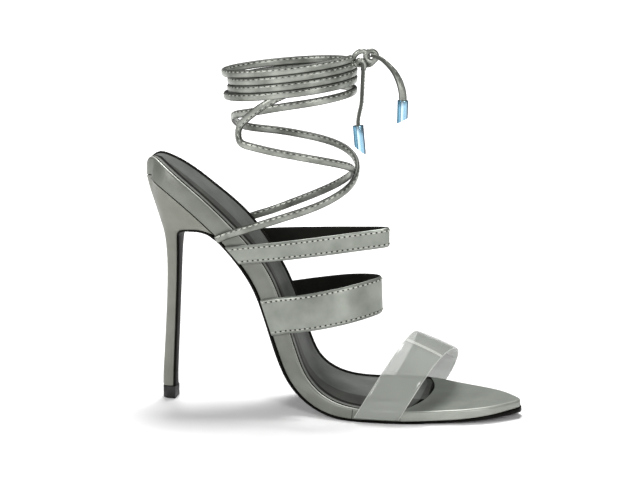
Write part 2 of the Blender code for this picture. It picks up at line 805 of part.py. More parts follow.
def ring_height():
    """Height of the ankle ring's lowest full turn, at its middle on the outer side."""
    return OUTSOLE + CLEARANCE + BALL_BOARD + SEAT_RISE + RING_LIFT


def lace_anchor():
    """Height at which the laces leave the sole, beside the waist."""
    s = BED.at_x(ANCHOR_X)
    return float(BED.rim(s)[1] - BED.up(s)[1] * BED.board(s))


def lace_points(rows):
    """A lace's route from its table, kept clear of the footbed's side."""
    low = lace_anchor()
    points = []
    for row in rows:
        x = RING_X + row.along * RING_LENGTH / 2.0
        y = row.side * RING_WIDTH / 2.0
        z = low + row.rise * (ring_height() - low)
        points.append(BED.beside((x, y, z), LACE_THICKNESS / 2.0))
    return points


def ring_points():
    """The turns round the ankle, as a helix that rises to the front, up to the knot."""
    degrees = np.arange(0.0, RING_TURNS * 360.0 + RING_LAST, RING_STEP)
    turn = np.radians(degrees)
    x = np.sin(turn) * RING_LENGTH / 2.0
    y = -np.cos(turn) * RING_WIDTH / 2.0
    z = ring_height() + RING_PITCH * degrees / 360.0 + RING_SLOPE * x
    return np.stack([x + RING_X, y, z], axis=1)


def lace_rings(path):
    """Oval rings along a lace, flat against the ankle."""
    run = np.gradient(path, axis=0)
    run /= np.linalg.norm(run, axis=1, keepdims=True)
    out = (path - [RING_X, 0.0, 0.0]) * [1.0 / RING_LENGTH**2, 1.0 / RING_WIDTH**2, 0.0]
    out /= np.linalg.norm(out, axis=1, keepdims=True)
    low = lace_anchor()
    share = np.clip((path[:, 2] - low) / (ring_height() - low) / LACE_LOW, 0.0, 1.0)[:, None]
    out = out * share + np.sign(path) * [0.0, 1.0, 0.0] * (1.0 - share)
    out -= run * np.sum(out * run, axis=1, keepdims=True)
    out /= np.linalg.norm(out, axis=1, keepdims=True)
    wide = np.cross(run, out)
    turn = (np.arange(LACE_SIDES) + 0.5) * 2.0 * math.pi / LACE_SIDES
    flat = np.cos(turn)[None, :, None] * wide[:, None, :] * LACE_WIDTH / 2.0
    thick = np.sin(turn)[None, :, None] * out[:, None, :] * LACE_THICKNESS / 2.0
    return path[:, None, :] + (flat + thick) / math.cos(math.pi / LACE_SIDES)


def ankle_wrap(surface, home, cutters):
    """Both laces from the waist, crossed in front, with the turns round the ankle."""
    outer_points = np.concatenate([lace_points(OUTER_LACE), ring_points()])
    outer_path = smooth_path(outer_points, int(chords(outer_points)[-1] / LACE_SPACING))
    inner_points = np.array(lace_points(INNER_LACE))
    inner_path = smooth_path(inner_points, int(chords(inner_points)[-1] / LACE_SPACING))
    wrap = loft("ankle_wrap", lace_rings(outer_path), surface, home)
    other = loft("inner_lace", lace_rings(inner_path), surface, cutters)
    join(wrap, other)
    return wrap


def knot_seat():
    """The ring's front at its top turn, which the knot and the ends are placed from."""
    x = RING_X + RING_LENGTH / 2.0
    z = ring_height() + RING_PITCH * (RING_TURNS + 0.25) + RING_SLOPE * RING_LENGTH / 2.0
    return Vector((x, 0.0, z))


def knot(surface, home, cutters):
    """Two loops side by side, fused at their middle."""
    seat = knot_seat()
    loops = []
    for number, (offset, lean) in enumerate(KNOT_LOOPS):
        bpy.ops.mesh.primitive_torus_add(
            major_radius=LOOP_RADIUS,
            minor_radius=LOOP_THICKNESS / 2.0,
            major_segments=16,
            minor_segments=10,
        )
        loop = bpy.context.object
        loop.name = "knot" if number == 0 else "knot_loop"
        tilt = Matrix.Rotation(math.radians(lean), 4, "Y") @ Matrix.Rotation(math.radians(90.0), 4, "X")
        loop.data.transform(Matrix.Translation(seat + Vector(offset)) @ tilt)
        move_to(loop, home if number == 0 else cutters, surface)
        loops.append(loop)
    join(loops[0], loops[1])
    return loops[0]


def move_to(made, home, surface):
    """Puts an object made by an operator into its collection, with its material."""
    for old in made.users_collection:
        old.objects.unlink(made)
    home.objects.link(made)
    made.data.materials.append(surface)
    made.data.shade_smooth()


def lace_end(name, points, surface, home):
    """A hanging end, as a cord through its route."""
    seat = knot_seat()
    path = smooth_path(np.array(points) + np.array(seat), 9)
    curve = bpy.data.curves.new(name, "CURVE")
    curve.dimensions = "3D"
    curve.bevel_depth = END_DIAMETER / 2.0
    curve.bevel_resolution = 2
    curve.use_fill_caps = True
    line = curve.splines.new("POLY")
    line.points.add(len(path) - 1)
    for spot, place in zip(line.points, path):
        spot.co = (*place, 1.0)
    curve.materials.append(surface)
    made = bpy.data.objects.new(name, curve)
    home.objects.link(made)
    return made


def aglet(name, points, aim, surface, home):
    """A metal tube on a lace end, cut on a slant at its foot."""
    seat = np.array(knot_seat())
    end = np.array(points[-1]) + seat
    aim = np.array(aim) / np.linalg.norm(aim)
    side = np.array([1.0, 0.0, 0.0])
    side -= aim * (side @ aim)
    side /= np.linalg.norm(side)
    deep = np.cross(aim, side)
    turns = np.arange(AGLET_SIDES) * 2.0 * math.pi / AGLET_SIDES
    rings = []
    for share, width in ((0.0, AGLET_TOP), (1.0, AGLET_FOOT)):
        ring = []
        for turn in turns:
            slant = AGLET_SLANT * (0.5 + 0.5 * math.cos(turn)) * share
            along = CLEARANCE + share * (AGLET_LENGTH - AGLET_SLANT) + slant
            out = side * math.cos(turn) + deep * math.sin(turn)
            ring.append(end + aim * along + out * width / 2.0)
        rings.append(ring)
    return loft(name, rings, surface, home)


def main():
    """Clears the scene and builds every piece."""
    for old in list(bpy.data.objects):
        bpy.data.objects.remove(old, do_unlink=True)
    home = bpy.data.collections.new("heeled_sandal")
    cutters = bpy.data.collections.new("cutters")
    for group in (home, cutters):
        bpy.context.scene.collection.children.link(group)
    satin = material("satin_leather", (0.33, 0.34, 0.29), 0.38)
    dark = material("sock_fabric", (0.13, 0.14, 0.12), 0.75)
    black = material("black_sole", (0.012, 0.012, 0.010), 0.5)
    clear = material("clear_strap", (0.75, 0.78, 0.76), 0.12, alpha=0.35)
    metal = material("blue_metal", (0.45, 0.62, 0.74), 0.12, metallic=1.0)
    footbed(satin, home, cutters)
    sock(dark, home)
    outsole(black, home)
    heel(satin, home)
    heel_tip(black, home)
    strap("strap_upper", UPPER_EDGES, UPPER_REACH, UPPER_TILT, UPPER_ARCH, STRAP_THICKNESS, 3, satin, home)
    strap("strap_instep", INSTEP_EDGES, INSTEP_REACH, INSTEP_TILT, INSTEP_ARCH, STRAP_THICKNESS, 4, satin, home)
    strap("strap_vamp", VAMP_EDGES, VAMP_REACH, VAMP_TILT, VAMP_ARCH, CLEAR_THICKNESS, 6, clear, home)
    ankle_wrap(satin, home, cutters)
    knot(satin, home, cutters)
    for place, points, aim in (("front", FRONT_END, FRONT_AGLET), ("side", SIDE_END, SIDE_AGLET)):
        lace_end("lace_end_" + place, points, satin, home)
        aglet("aglet_" + place, points, aim, metal, home)


main()
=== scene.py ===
"""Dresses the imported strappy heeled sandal: finishes, stitching, laces, camera and soft studio light."""

import logging
import math
from dataclasses import dataclass, field
from enum import Enum, IntEnum

import bmesh
import bpy
import numpy as np
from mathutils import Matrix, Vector

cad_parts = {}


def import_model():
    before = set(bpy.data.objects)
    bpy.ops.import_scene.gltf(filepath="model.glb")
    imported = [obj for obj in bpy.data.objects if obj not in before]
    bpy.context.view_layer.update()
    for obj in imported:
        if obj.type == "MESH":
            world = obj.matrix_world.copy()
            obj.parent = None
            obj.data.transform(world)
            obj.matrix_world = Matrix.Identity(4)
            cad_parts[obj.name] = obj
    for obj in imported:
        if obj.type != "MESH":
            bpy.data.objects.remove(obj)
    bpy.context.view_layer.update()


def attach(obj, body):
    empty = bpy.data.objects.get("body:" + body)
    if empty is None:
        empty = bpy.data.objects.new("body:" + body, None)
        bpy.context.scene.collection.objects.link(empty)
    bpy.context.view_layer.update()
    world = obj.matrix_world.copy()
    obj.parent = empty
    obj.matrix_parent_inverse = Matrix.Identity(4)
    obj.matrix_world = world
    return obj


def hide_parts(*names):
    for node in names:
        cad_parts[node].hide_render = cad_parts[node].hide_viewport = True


LOG = logging.getLogger("sandal")

BODY = "root"
OUTER = -1.0
INNER = 1.0
MILLIMETRE = 0.001
# An inset that is further in than any edge
FAR = 1.0
# Places closer than this count as one, in metres
HAIR = 1e-5
# Edges that turn more than this are shaded sharp, in degrees
SHARP_ANGLE = 50.0

Colour = tuple[float, float, float]
Place = tuple[float, float, float]
Table = tuple[tuple[float, ...], ...]
Faces = list[tuple[int, ...]]
Patch = tuple[np.ndarray, Faces, list[int]]


class Slot(Enum):
    """The record's material slots."""

    LEATHER = "satin_leather"
    LACE = "satin_lace"
    SOCK = "sock_fabric"
    SOLE = "black_sole"
    TIP = "black_tip"
    CLEAR = "clear_strap"
    METAL = "blue_metal"


# Curves and the last's form

def spline(knots: np.ndarray, values: np.ndarray, at: np.ndarray) -> np.ndarray:
    """Reads a natural cubic spline.

    Args:
        knots: Places of the values, rising.
        values: The values at the knots.
        at: Places to read.

    Returns:
        The spline's values at those places.
    """
    k = np.asarray(knots, float)
    v = np.asarray(values, float)
    h = np.diff(k)
    count = len(k)
    system = np.eye(count)
    right = np.zeros(count)
    for i in range(1, count - 1):
        system[i, i - 1 : i + 2] = h[i - 1], 2.0 * (h[i - 1] + h[i]), h[i]
        right[i] = 6.0 * ((v[i + 1] - v[i]) / h[i] - (v[i] - v[i - 1]) / h[i - 1])
    bend = np.linalg.solve(system, right)
    at = np.clip(np.asarray(at, float), k[0], k[-1])
    i = np.clip(np.searchsorted(k, at) - 1, 0, count - 2)
    t = (at - k[i]) / h[i]
    straight = v[i] * (1.0 - t) + v[i + 1] * t
    curve = ((1.0 - t) ** 3 - (1.0 - t)) * bend[i] + (t**3 - t) * bend[i + 1]
    return straight + curve * h[i] ** 2 / 6.0


def chords(points: np.ndarray) -> np.ndarray:
    """Gives the distance along a row of points, from 0 at the first."""
    steps = np.linalg.norm(np.diff(np.asarray(points, float), axis=0), axis=1)
    return np.concatenate([[0.0], np.cumsum(steps)])


def smooth_path(points: np.ndarray, count: int) -> np.ndarray:
    """Spaces points evenly on one smooth curve.

    Args:
        points: The points that the curve goes through.
        count: How many points to give back.

    Returns:
        The evenly spaced points.
    """
    points = np.asarray(points, float)
    knots = chords(points)
    at = np.linspace(0.0, knots[-1], count)
    return np.stack([spline(knots, points[:, i], at) for i in range(points.shape[1])], axis=1)


def unit(vectors: np.ndarray) -> np.ndarray:
    """Scales vectors to length 1."""
    return vectors / np.maximum(np.linalg.norm(vectors, axis=-1, keepdims=True), 1e-12)


def clamp(value: float) -> float:
    """Keeps a value between 0 and 1."""
    return min(1.0, max(0.0, value))


def crowded(reach: float, first: float, count: int) -> np.ndarray:
    """Gives distances up to a reach, closest together at 0, from a share of a quarter turn on."""
    return reach * (1.0 - np.cos(np.linspace(first, 1.0, count) * math.pi / 2.0))


# Stations of the footbed: along, rise, half widths, board thickness and lean, as shares
BED_ROWS: Table = (
    (0.000, 0.977, 0.550, 0.750, 0.83, 0.00),
    (0.021, 1.008, 0.580, 0.760, 1.12, 0.40),
    (0.049, 0.994, 0.720, 0.820, 1.17, 0.76),
    (0.101, 0.938, 0.840, 0.900, 1.10, 0.95),
    (0.169, 0.853, 0.900, 0.960, 1.08, 0.95),
    (0.248, 0.739, 0.950, 1.050, 1.04, 1.00),
    (0.310, 0.619, 0.790, 0.960, 1.08, 1.00),
    (0.355, 0.498, 0.750, 0.960, 1.08, 1.00),
    (0.390, 0.347, 0.810, 1.050, 1.05, 1.00),
    (0.420, 0.198, 0.840, 1.110, 1.00, 1.00),
    (0.445, 0.111, 0.902, 1.209, 0.91, 1.00),
    (0.490, 0.045, 1.090, 1.447, 0.78, 1.00),
    (0.547, 0.012, 1.294, 1.719, 0.65, 1.00),
    (0.619, 0.001, 1.413, 1.958, 0.51, 1.00),
    (0.721, 0.000, 1.362, 2.009, 0.49, 1.00),
    (0.816, 0.004, 1.158, 1.532, 0.49, 1.00),
    (0.905, 0.011, 0.902, 1.021, 0.48, 1.00),
    (0.956, 0.016, 0.630, 0.638, 0.46, 1.00),
    (1.000, 0.021, 0.426, 0.289, 0.45, 1.00),
)

# Heel rings from the tip up: back and front place, spread and likeness to the seat, as shares
HEEL_ROWS: Table = (
    (0.00, 0.000, 0.000, 0.000, 0.010, 0.0),
    (-0.03, 0.074, 0.006, 0.102, -0.014, 0.0),
    (-0.22, 0.258, 0.045, 0.353, -0.010, 0.0),
    (-0.38, 0.468, 0.087, 0.631, 0.012, 0.0),
    (-0.40, 0.615, 0.110, 0.815, 0.055, 0.0),
    (-0.27, 0.720, 0.126, 0.922, 0.150, 0.1),
    (-0.06, 0.780, 0.164, 0.972, 0.300, 0.2),
    (0.19, 0.835, 0.280, 0.998, 0.510, 0.4),
    (0.47, 0.890, 0.470, 1.012, 0.720, 0.6),
    (0.76, 0.945, 0.730, 1.018, 0.890, 0.8),
    (1.00, 1.000, 1.000, 1.000, 1.000, 1.0),
)

# Arches: reach and sideways place, as shares
UPPER_ARCH: Table = (
    (0.00, -1.00),
    (0.10, -0.98),
    (0.26, -0.89),
    (0.46, -0.71),
    (0.66, -0.49),
    (0.85, -0.26),
    (0.96, -0.12),
    (1.00, 0.00),
    (0.96, 0.12),
    (0.85, 0.26),
    (0.66, 0.47),
    (0.46, 0.67),
    (0.26, 0.85),
    (0.10, 0.96),
    (0.00, 1.00),
)
INSTEP_ARCH: Table = (
    (0.00, -1.00),
    (0.10, -1.07),
    (0.27, -1.12),
    (0.48, -1.05),
    (0.68, -0.86),
    (0.84, -0.57),
    (0.95, -0.28),
    (1.00, 0.00),
    (0.95, 0.25),
    (0.84, 0.49),
    (0.68, 0.73),
    (0.48, 0.89),
    (0.27, 0.97),
    (0.10, 1.00),
    (0.00, 1.00),
)
VAMP_ARCH: Table = (
    (0.00, -1.00),
    (0.14, -1.00),
    (0.34, -0.96),
    (0.57, -0.87),
    (0.77, -0.70),
    (0.91, -0.47),
    (0.98, -0.22),
    (1.00, 0.03),
    (0.97, 0.28),
    (0.89, 0.51),
    (0.74, 0.71),
    (0.52, 0.87),
    (0.28, 0.97),
    (0.11, 1.00),
    (0.00, 1.00),
)

# Lace routes: along and aside in half ring sizes, and share of the rise to the ring
OUTER_LACE: Table = (
    (-1.030, -0.820, 0.000),
    (-0.840, -0.850, 0.036),
    (-0.643, -0.925, 0.070),
    (-0.320, -0.955, 0.120),
    (0.148, -0.945, 0.192),
    (0.595, -0.820, 0.264),
    (0.867, -0.590, 0.326),
    (0.985, -0.340, 0.368),
    (1.040, -0.080, 0.420),
    (1.020, 0.180, 0.468),
    (0.930, 0.450, 0.512),
    (0.740, 0.706, 0.555),
    (0.390, 0.900, 0.595),
    (0.020, 0.980, 0.620),
    (-0.430, 0.965, 0.645),
    (-0.720, 0.760, 0.668),
    (-0.860, 0.420, 0.707),
    (-0.890, 0.020, 0.762),
    (-0.840, -0.330, 0.808),
    (-0.700, -0.630, 0.842),
    (-0.370, -0.890, 0.880),
    (0.000, -0.995, 0.917),
    (0.420, -0.925, 0.947),
    (0.800, -0.610, 0.972),
    (0.985, -0.150, 0.985),
    (0.930, 0.370, 0.984),
    (0.600, 0.800, 0.974),
    (0.100, 0.995, 0.956),
    (-0.500, 0.865, 0.940),
    (-0.900, 0.435, 0.934),
    (-1.000, 0.000, 0.938),
    (-0.880, -0.475, 0.948),
    (-0.500, -0.865, 0.970),
)
INNER_LACE: Table = (
    (-1.030, 0.860, 0.000),
    (-0.782, 0.880, 0.043),
    (-0.490, 0.960, 0.085),
    (-0.172, 0.955, 0.141),
    (0.163, 0.880, 0.206),
    (0.514, 0.690, 0.284),
    (0.795, 0.420, 0.364),
    (0.955, 0.120, 0.432),
    (0.965, -0.260, 0.488),
    (0.743, -0.720, 0.545),
    (0.311, -0.965, 0.590),
    (-0.160, -0.975, 0.622),
    (-0.498, -0.890, 0.645),
    (-0.655, -0.790, 0.668),
    (-0.690, -0.735, 0.705),
    (-0.680, -0.740, 0.748),
    (-0.610, -0.810, 0.795),
    (-0.490, -0.890, 0.845),
    (-0.330, -0.955, 0.900),
    (-0.130, -0.975, 0.955),
    (0.080, -0.915, 1.000),
    (0.280, -0.850, 1.020),
    (0.480, -0.760, 1.030),
)

# Hanging ends, in millimetres from the ring's front at its top turn
FRONT_END: Table = (
    (4.6, -2.4, -2.6),
    (4.9, -2.6, -5.0),
    (4.9, -3.4, -12.0),
    (4.7, -4.0, -18.6),
    (4.1, -4.0, -24.7),
    (2.9, -4.0, -30.4),
    (2.7, -4.0, -34.5),
    (3.1, -4.0, -39.0),
    (3.4, -4.0, -42.5),
)
SIDE_END: Table = (
    (8.6, -1.2, 1.2),
    (11.4, -0.6, 0.4),
    (14.4, 0.2, -1.4),
    (17.6, 0.5, -4.2),
    (20.7, 0.5, -7.8),
    (23.1, 0.5, -12.6),
    (24.5, 0.5, -17.6),
    (24.8, 0.5, -21.6),
    (24.7, 0.5, -26.0),
    (24.6, 0.5, -29.0),
)


@dataclass
class Last:
    """The sandal's form in side view and plan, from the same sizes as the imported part."""

    shoe_length: float = 0.1955
    seat_overhang: float = 0.0110
    seat_rise: float = 0.1211
    seat_width: float = 0.0420
    seat_board: float = 0.0086
    rim_at_ball: float = 0.0067
    outsole: float = 0.0022
    waist_sole: float = 0.0015
    breast_cover: float = 0.0009
    heel_end: float = 0.032
    toe_end: float = 0.014
    edge: float = 0.0008
    gap: float = 0.0003
    lip_reach: float = 0.0350
    tip_height: float = 0.0066
    tip_depth: float = 0.0074
    stem_width: float = 0.0084
    sock_end: float = 0.756
    sole_lap: float = 0.0009
    lap_from: float = 0.50
    lap_run: float = 0.03
    fine_stations: int = 900

    def __post_init__(self) -> None:
        """Works the table's columns out in metres."""
        rows = np.array(BED_ROWS)
        self.x = rows[:, 0] * self.shoe_length - self.seat_overhang
        self.z = rows[:, 1] * self.seat_rise + self.rim_at_ball
        self.sides = {
            OUTER: rows[:, 2] * self.seat_width / 2.0,
            INNER: rows[:, 3] * self.seat_width / 2.0,
        }
        self.thick = rows[:, 4] * self.seat_board
        self.lean = rows[:, 5]
        self.knots = chords(np.stack([self.x, self.z], axis=1))
        self.length = float(self.knots[-1])
        self.fine = np.linspace(0.0, self.length, self.fine_stations)
        self.fine_x = spline(self.knots, self.x, self.fine)
        self.lip = self.at_x(self.lip_reach)

    def rim(self, s: np.ndarray) -> np.ndarray:
        """Gives the rim line's x and z at stations."""
        return np.stack([spline(self.knots, self.x, s), spline(self.knots, self.z, s)], axis=-1)

    def up(self, s: np.ndarray) -> np.ndarray:
        """Gives the unit direction from the underside to the rim, in side view.

        Args:
            s: Stations along the rim.

        Returns:
            The directions' x and z.
        """
        step = 1e-4
        s = np.asarray(s, float)
        run = self.rim(np.minimum(s + step, self.length)) - self.rim(np.maximum(s - step, 0.0))
        slope = np.arctan2(-run[..., 1], run[..., 0])
        slope = np.where(s < self.heel_end, np.maximum(slope, 0.0), slope)
        slope = slope * spline(self.knots, self.lean, s)
        return np.stack([np.sin(slope), np.cos(slope)], axis=-1)

    def board(self, s: np.ndarray) -> np.ndarray:
        """Gives the wrapped board's thickness."""
        return spline(self.knots, self.thick, s)

    def half(self, s: np.ndarray, side: float, inset: float = 0.0) -> np.ndarray:
        """Gives the half width on one side, rounded in at the back and at the toe.

        Args:
            s: Stations along the rim.
            side: OUTER or INNER.
            inset: Distance in from the outline.

        Returns:
            The half widths.
        """
        s = np.asarray(s, float)
        wide = spline(self.knots, self.sides[side], s) - inset
        back = np.clip((s - inset) / (self.heel_end - inset), 0.0, 1.0)
        toe = np.clip((self.length - s - inset) / (self.toe_end - inset), 0.0, 1.0)
        return wide * np.sqrt(1.0 - (1.0 - back) ** 2) * np.sqrt(1.0 - (1.0 - toe) ** 2)

    def middle(self, s: np.ndarray) -> np.ndarray:
        """Gives the outline's sideways shift at the toe's very end.

        Args:
            s: Stations along the rim.

        Returns:
            The shifts in metres.
        """
        halves = [spline(self.knots, self.sides[side], s) for side in (OUTER, INNER)]
        toe = np.clip(1.0 - (self.length - np.asarray(s, float)) / self.toe_end, 0.0, 1.0)
        return (halves[1] - halves[0]) / 2.0 * (1.0 - np.sqrt(1.0 - toe**2))

    def at_x(self, x: float) -> float:
        """Finds the station whose rim has the given x."""
        return float(np.interp(x, self.fine_x, self.fine))

    def at_share(self, share: float) -> float:
        """Finds the station at a share of the shoe's length."""
        return self.at_x(share * self.shoe_length - self.seat_overhang)

    def point(self, s: float, y: float, depth: float) -> np.ndarray:
        """Gives a point in space at a station, a sideways place and a depth under the rim."""
        flat = self.rim(s) - self.up(s) * depth
        return np.array([flat[0], y + float(self.middle(s)), flat[1]])

    def station_of(self, x: float, z: float) -> tuple[float, float]:
        """Finds the station and depth of a point in side view, beside the footbed.

        Args:
            x: The point's place along the shoe.
            z: Its height.

        Returns:
            The station, and the depth under the rim there.
        """
        nearer = 1e-3
        up = self.up(self.fine)
        off = np.array([x, z]) - self.rim(self.fine)
        across = np.abs(off[:, 0] * up[:, 1] - off[:, 1] * up[:, 0])
        best = int(np.argmin(across + nearer * np.linalg.norm(off, axis=1)))
        return float(self.fine[best]), float(-(off[best] @ up[best]))

    def lap(self, s: float) -> float:
        """Gives how far the wrapping laps over the sole's edge, from nothing at the waist."""
        from_waist = clamp((s - self.at_share(self.lap_from)) / self.lap_run + 1.0)
        return self.sole_lap * from_waist * clamp((self.length - s) / self.lap_run)

    def under(self, s: float, gap: float) -> np.ndarray:
        """Gives the side view's point under the board, at a gap."""
        return self.rim(s) - self.up(s) * (float(self.board(s)) + gap)


LAST = Last()


# Mesh helpers

def make_piece(
    name: str,
    points: np.ndarray,
    faces: Faces,
    finishes: list[bpy.types.Material],
    marks: list[int] | None = None,
) -> bpy.types.Object:
    """Makes one smooth-shaded mesh object.

    Args:
        name: The piece's name.
        points: Its points, in metres.
        faces: Its faces, as rows of point numbers.
        finishes: Its materials.
        marks: The material number of each face, or None for all 0.

    Returns:
        The object.
    """
    mesh = bpy.data.meshes.new(name)
    mesh.from_pydata([tuple(p) for p in np.asarray(points, float)], [], faces)
    for finish in finishes:
        mesh.materials.append(finish)
    if marks is not None:
        mesh.polygons.foreach_set("material_index", marks)
    bm = bmesh.new()
    bm.from_mesh(mesh)
    bmesh.ops.recalc_face_normals(bm, faces=bm.faces[:])
    bm.to_mesh(mesh)
    bm.free()
    mesh.shade_smooth()
    mesh.set_sharp_from_angle(angle=math.radians(SHARP_ANGLE))
    piece = bpy.data.objects.new(name, mesh)
    bpy.context.scene.collection.objects.link(piece)
    return piece


def ring_faces(rings: int, around: int) -> Faces:
    """Lists the quads between closed rings of points.

    Args:
        rings: How many rings.
        around: How many points each has.

    Returns:
        The quads, as rows of point numbers.
    """
    faces = []
    for r in range(rings - 1):
        for i in range(around):
            j = (i + 1) % around
            faces.append((r * around + i, r * around + j, (r + 1) * around + j, (r + 1) * around + i))
    return faces


def loft(
    name: str,
    rings: np.ndarray,
    finishes: list[bpy.types.Material],
    marks: list[int] | tuple[int, ...] | None = None,
    cap: int = 0,
) -> bpy.types.Object:
    """Makes a closed piece through rings of equal count.

    Args:
        name: The piece's name.
        rings: Ring by ring, the points.
        finishes: Its materials.
        marks: The material number of each place round the ring or of each face, or None.
        cap: The material number of its two ends.

    Returns:
        The object.
    """
    rings = np.asarray(rings, float)
    count, around = rings.shape[:2]
    faces = ring_faces(count, around)
    faces.append(tuple(range(around - 1, -1, -1)))
    faces.append(tuple(range((count - 1) * around, count * around)))
    if marks is not None:
        marks = list(marks) * (count - 1 if len(marks) == around else 1) + [cap, cap]
    return make_piece(name, rings.reshape(-1, 3), faces, finishes, marks)


def seat(piece: bpy.types.Object, slot: Slot, *nodes: str) -> None:
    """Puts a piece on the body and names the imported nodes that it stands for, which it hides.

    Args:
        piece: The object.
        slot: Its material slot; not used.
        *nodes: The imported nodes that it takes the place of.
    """
    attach(piece, BODY)
    if nodes:
        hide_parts(*nodes)
    LOG.info("piece %s for %s", piece.name, ", ".join(nodes) or "detail")


# Finishes

# Factors at which a blend of two colours starts and ends
BLEND_FROM = 0.3
BLEND_TO = 0.7


class Graph:
    """A short way to add and link the nodes of one material."""

    def __init__(self, name: str) -> None:
        """Starts a material with a Principled shader.

        Args:
            name: The material's name.
        """
        self.material = bpy.data.materials.new(name)
        self.material.use_nodes = True
        self.tree = self.material.node_tree
        self.shader = self.tree.nodes["Principled BSDF"]

    def node(self, kind: str, **values: object) -> bpy.types.Node:
        """Adds a node.

        Args:
            kind: The node's type, without its ShaderNode prefix.
            **values: Its properties, and its inputs' defaults by name with _ for spaces.

        Returns:
            The node.
        """
        made = self.tree.nodes.new("ShaderNode" + kind)
        for key, value in values.items():
            if hasattr(made, key) and key not in made.inputs:
                setattr(made, key, value)
            else:
                made.inputs[key.replace("_", " ")].default_value = value
        return made

    def link(self, source: bpy.types.NodeSocket, target: bpy.types.NodeSocket) -> None:
        """Links one socket to another."""
        self.tree.links.new(source, target)

    def place(self) -> bpy.types.NodeSocket:
        """Gives the object's own coordinates."""
        return self.node("TexCoord").outputs["Object"]

    def blend(self, factor: bpy.types.NodeSocket, low: Colour, high: Colour) -> bpy.types.NodeSocket:
        """Mixes two colours by a factor socket.

        Args:
            factor: The socket that mixes.
            low: Colour at 0.
            high: Colour at 1.

        Returns:
            The colour socket.
        """
        ramp = self.node("ValToRGB")
        ramp.color_ramp.elements[0].color = (*low, 1.0)
        ramp.color_ramp.elements[1].color = (*high, 1.0)
        ramp.color_ramp.elements[0].position = BLEND_FROM
        ramp.color_ramp.elements[1].position = BLEND_TO
        self.link(factor, ramp.inputs["Fac"])
        return ramp.outputs["Color"]

    def noise(self, scale: float, detail: float = 2.0) -> bpy.types.NodeSocket:
        """Adds a noise over the object's own coordinates.

        Args:
            scale: The noise's scale.
            detail: Its detail.

        Returns:
            The factor socket.
        """
        made = self.node("TexNoise", Scale=scale, Detail=detail)
        self.link(self.place(), made.inputs["Vector"])
        return made.outputs["Fac"]

    def cells(self, scale: float) -> bpy.types.NodeSocket:
        """Adds a pattern of cells over the object's own coordinates.

        Args:
            scale: The pattern's scale.

        Returns:
            The socket with the distance to the nearest cell's middle.
        """
        made = self.node("TexVoronoi", Scale=scale)
        self.link(self.place(), made.inputs["Vector"])
        return made.outputs["Distance"]

    def bump(
        self,
        height: bpy.types.NodeSocket,
        depth: float,
        strength: float,
        under: bpy.types.NodeSocket | None = None,
    ) -> bpy.types.NodeSocket:
        """Adds a bump.

        Args:
            height: The socket that gives the height.
            depth: The bump's distance.
            strength: Its strength.
            under: The normal that it is laid on, or None.

        Returns:
            The normal socket.
        """
        made = self.node("Bump", Strength=strength, Distance=depth)
        self.link(height, made.inputs["Height"])
        if under is not None:
            self.link(under, made.inputs["Normal"])
        return made.outputs["Normal"]


@dataclass(frozen=True)
class Leather:
    """Satin or matt leather with fine pores and soft mottling."""

    name: str
    low: Colour
    high: Colour
    roughness: float
    metallic: float = 0.0
    pores: float = 1700.0
    depth: float = 0.00006
    mottle: float = 90.0
    shine: float = 0.5
    uneven: tuple[float, float] = (-0.05, 0.06)

    def build(self) -> bpy.types.Material:
        """Makes the material.

        Returns:
            The material.
        """
        graph = Graph(self.name)
        graph.shader.inputs["Specular IOR Level"].default_value = self.shine
        colour = graph.blend(graph.noise(self.mottle, 4.0), self.low, self.high)
        graph.link(colour, graph.shader.inputs["Base Color"])
        smoothest, roughest = (self.roughness + change for change in self.uneven)
        rough = graph.node("MapRange", To_Min=smoothest, To_Max=roughest)
        graph.link(graph.noise(self.mottle * 5.0), rough.inputs["Value"])
        graph.link(rough.outputs["Result"], graph.shader.inputs["Roughness"])
        graph.shader.inputs["Metallic"].default_value = self.metallic
        pores = graph.bump(graph.cells(self.pores), self.depth, 0.5)
        waves = graph.bump(graph.noise(self.mottle * 1.5, 3.0), self.depth * 4.0, 0.25, pores)
        graph.link(waves, graph.shader.inputs["Normal"])
        return graph.material


@dataclass(frozen=True)
class Plain:
    """Moulded plastic, paint or thread: one tone with a fine surface."""

    name: str
    low: Colour
    high: Colour
    roughness: float
    scale: float = 900.0
    depth: float = 0.00003

    def build(self) -> bpy.types.Material:
        """Makes the material.

        Returns:
            The material.
        """
        graph = Graph(self.name)
        colour = graph.blend(graph.noise(self.scale / 6.0, 3.0), self.low, self.high)
        graph.link(colour, graph.shader.inputs["Base Color"])
        graph.shader.inputs["Roughness"].default_value = self.roughness
        normal = graph.bump(graph.noise(self.scale, 3.0), self.depth, 0.5)
        graph.link(normal, graph.shader.inputs["Normal"])
        return graph.material


@dataclass(frozen=True)
class ClearSheet:
    """Soft clear plastic with a faint grey cast."""

    name: str
    tint: Colour
    alpha: float
    roughness: float
    ior: float = 1.48
    coat: float = 0.2
    coat_roughness: float = 0.06
    ripples: float = 70.0
    depth: float = 0.0006

    def build(self) -> bpy.types.Material:
        """Makes the material.

        Returns:
            The material.
        """
        graph = Graph(self.name)
        graph.shader.inputs["Base Color"].default_value = (*self.tint, 1.0)
        graph.shader.inputs["Roughness"].default_value = self.roughness
        graph.shader.inputs["Alpha"].default_value = self.alpha
        graph.shader.inputs["IOR"].default_value = self.ior
        graph.shader.inputs["Coat Weight"].default_value = self.coat
        graph.shader.inputs["Coat Roughness"].default_value = self.coat_roughness
        normal = graph.bump(graph.noise(self.ripples), self.depth, 0.25)
        graph.link(normal, graph.shader.inputs["Normal"])
        return graph.material


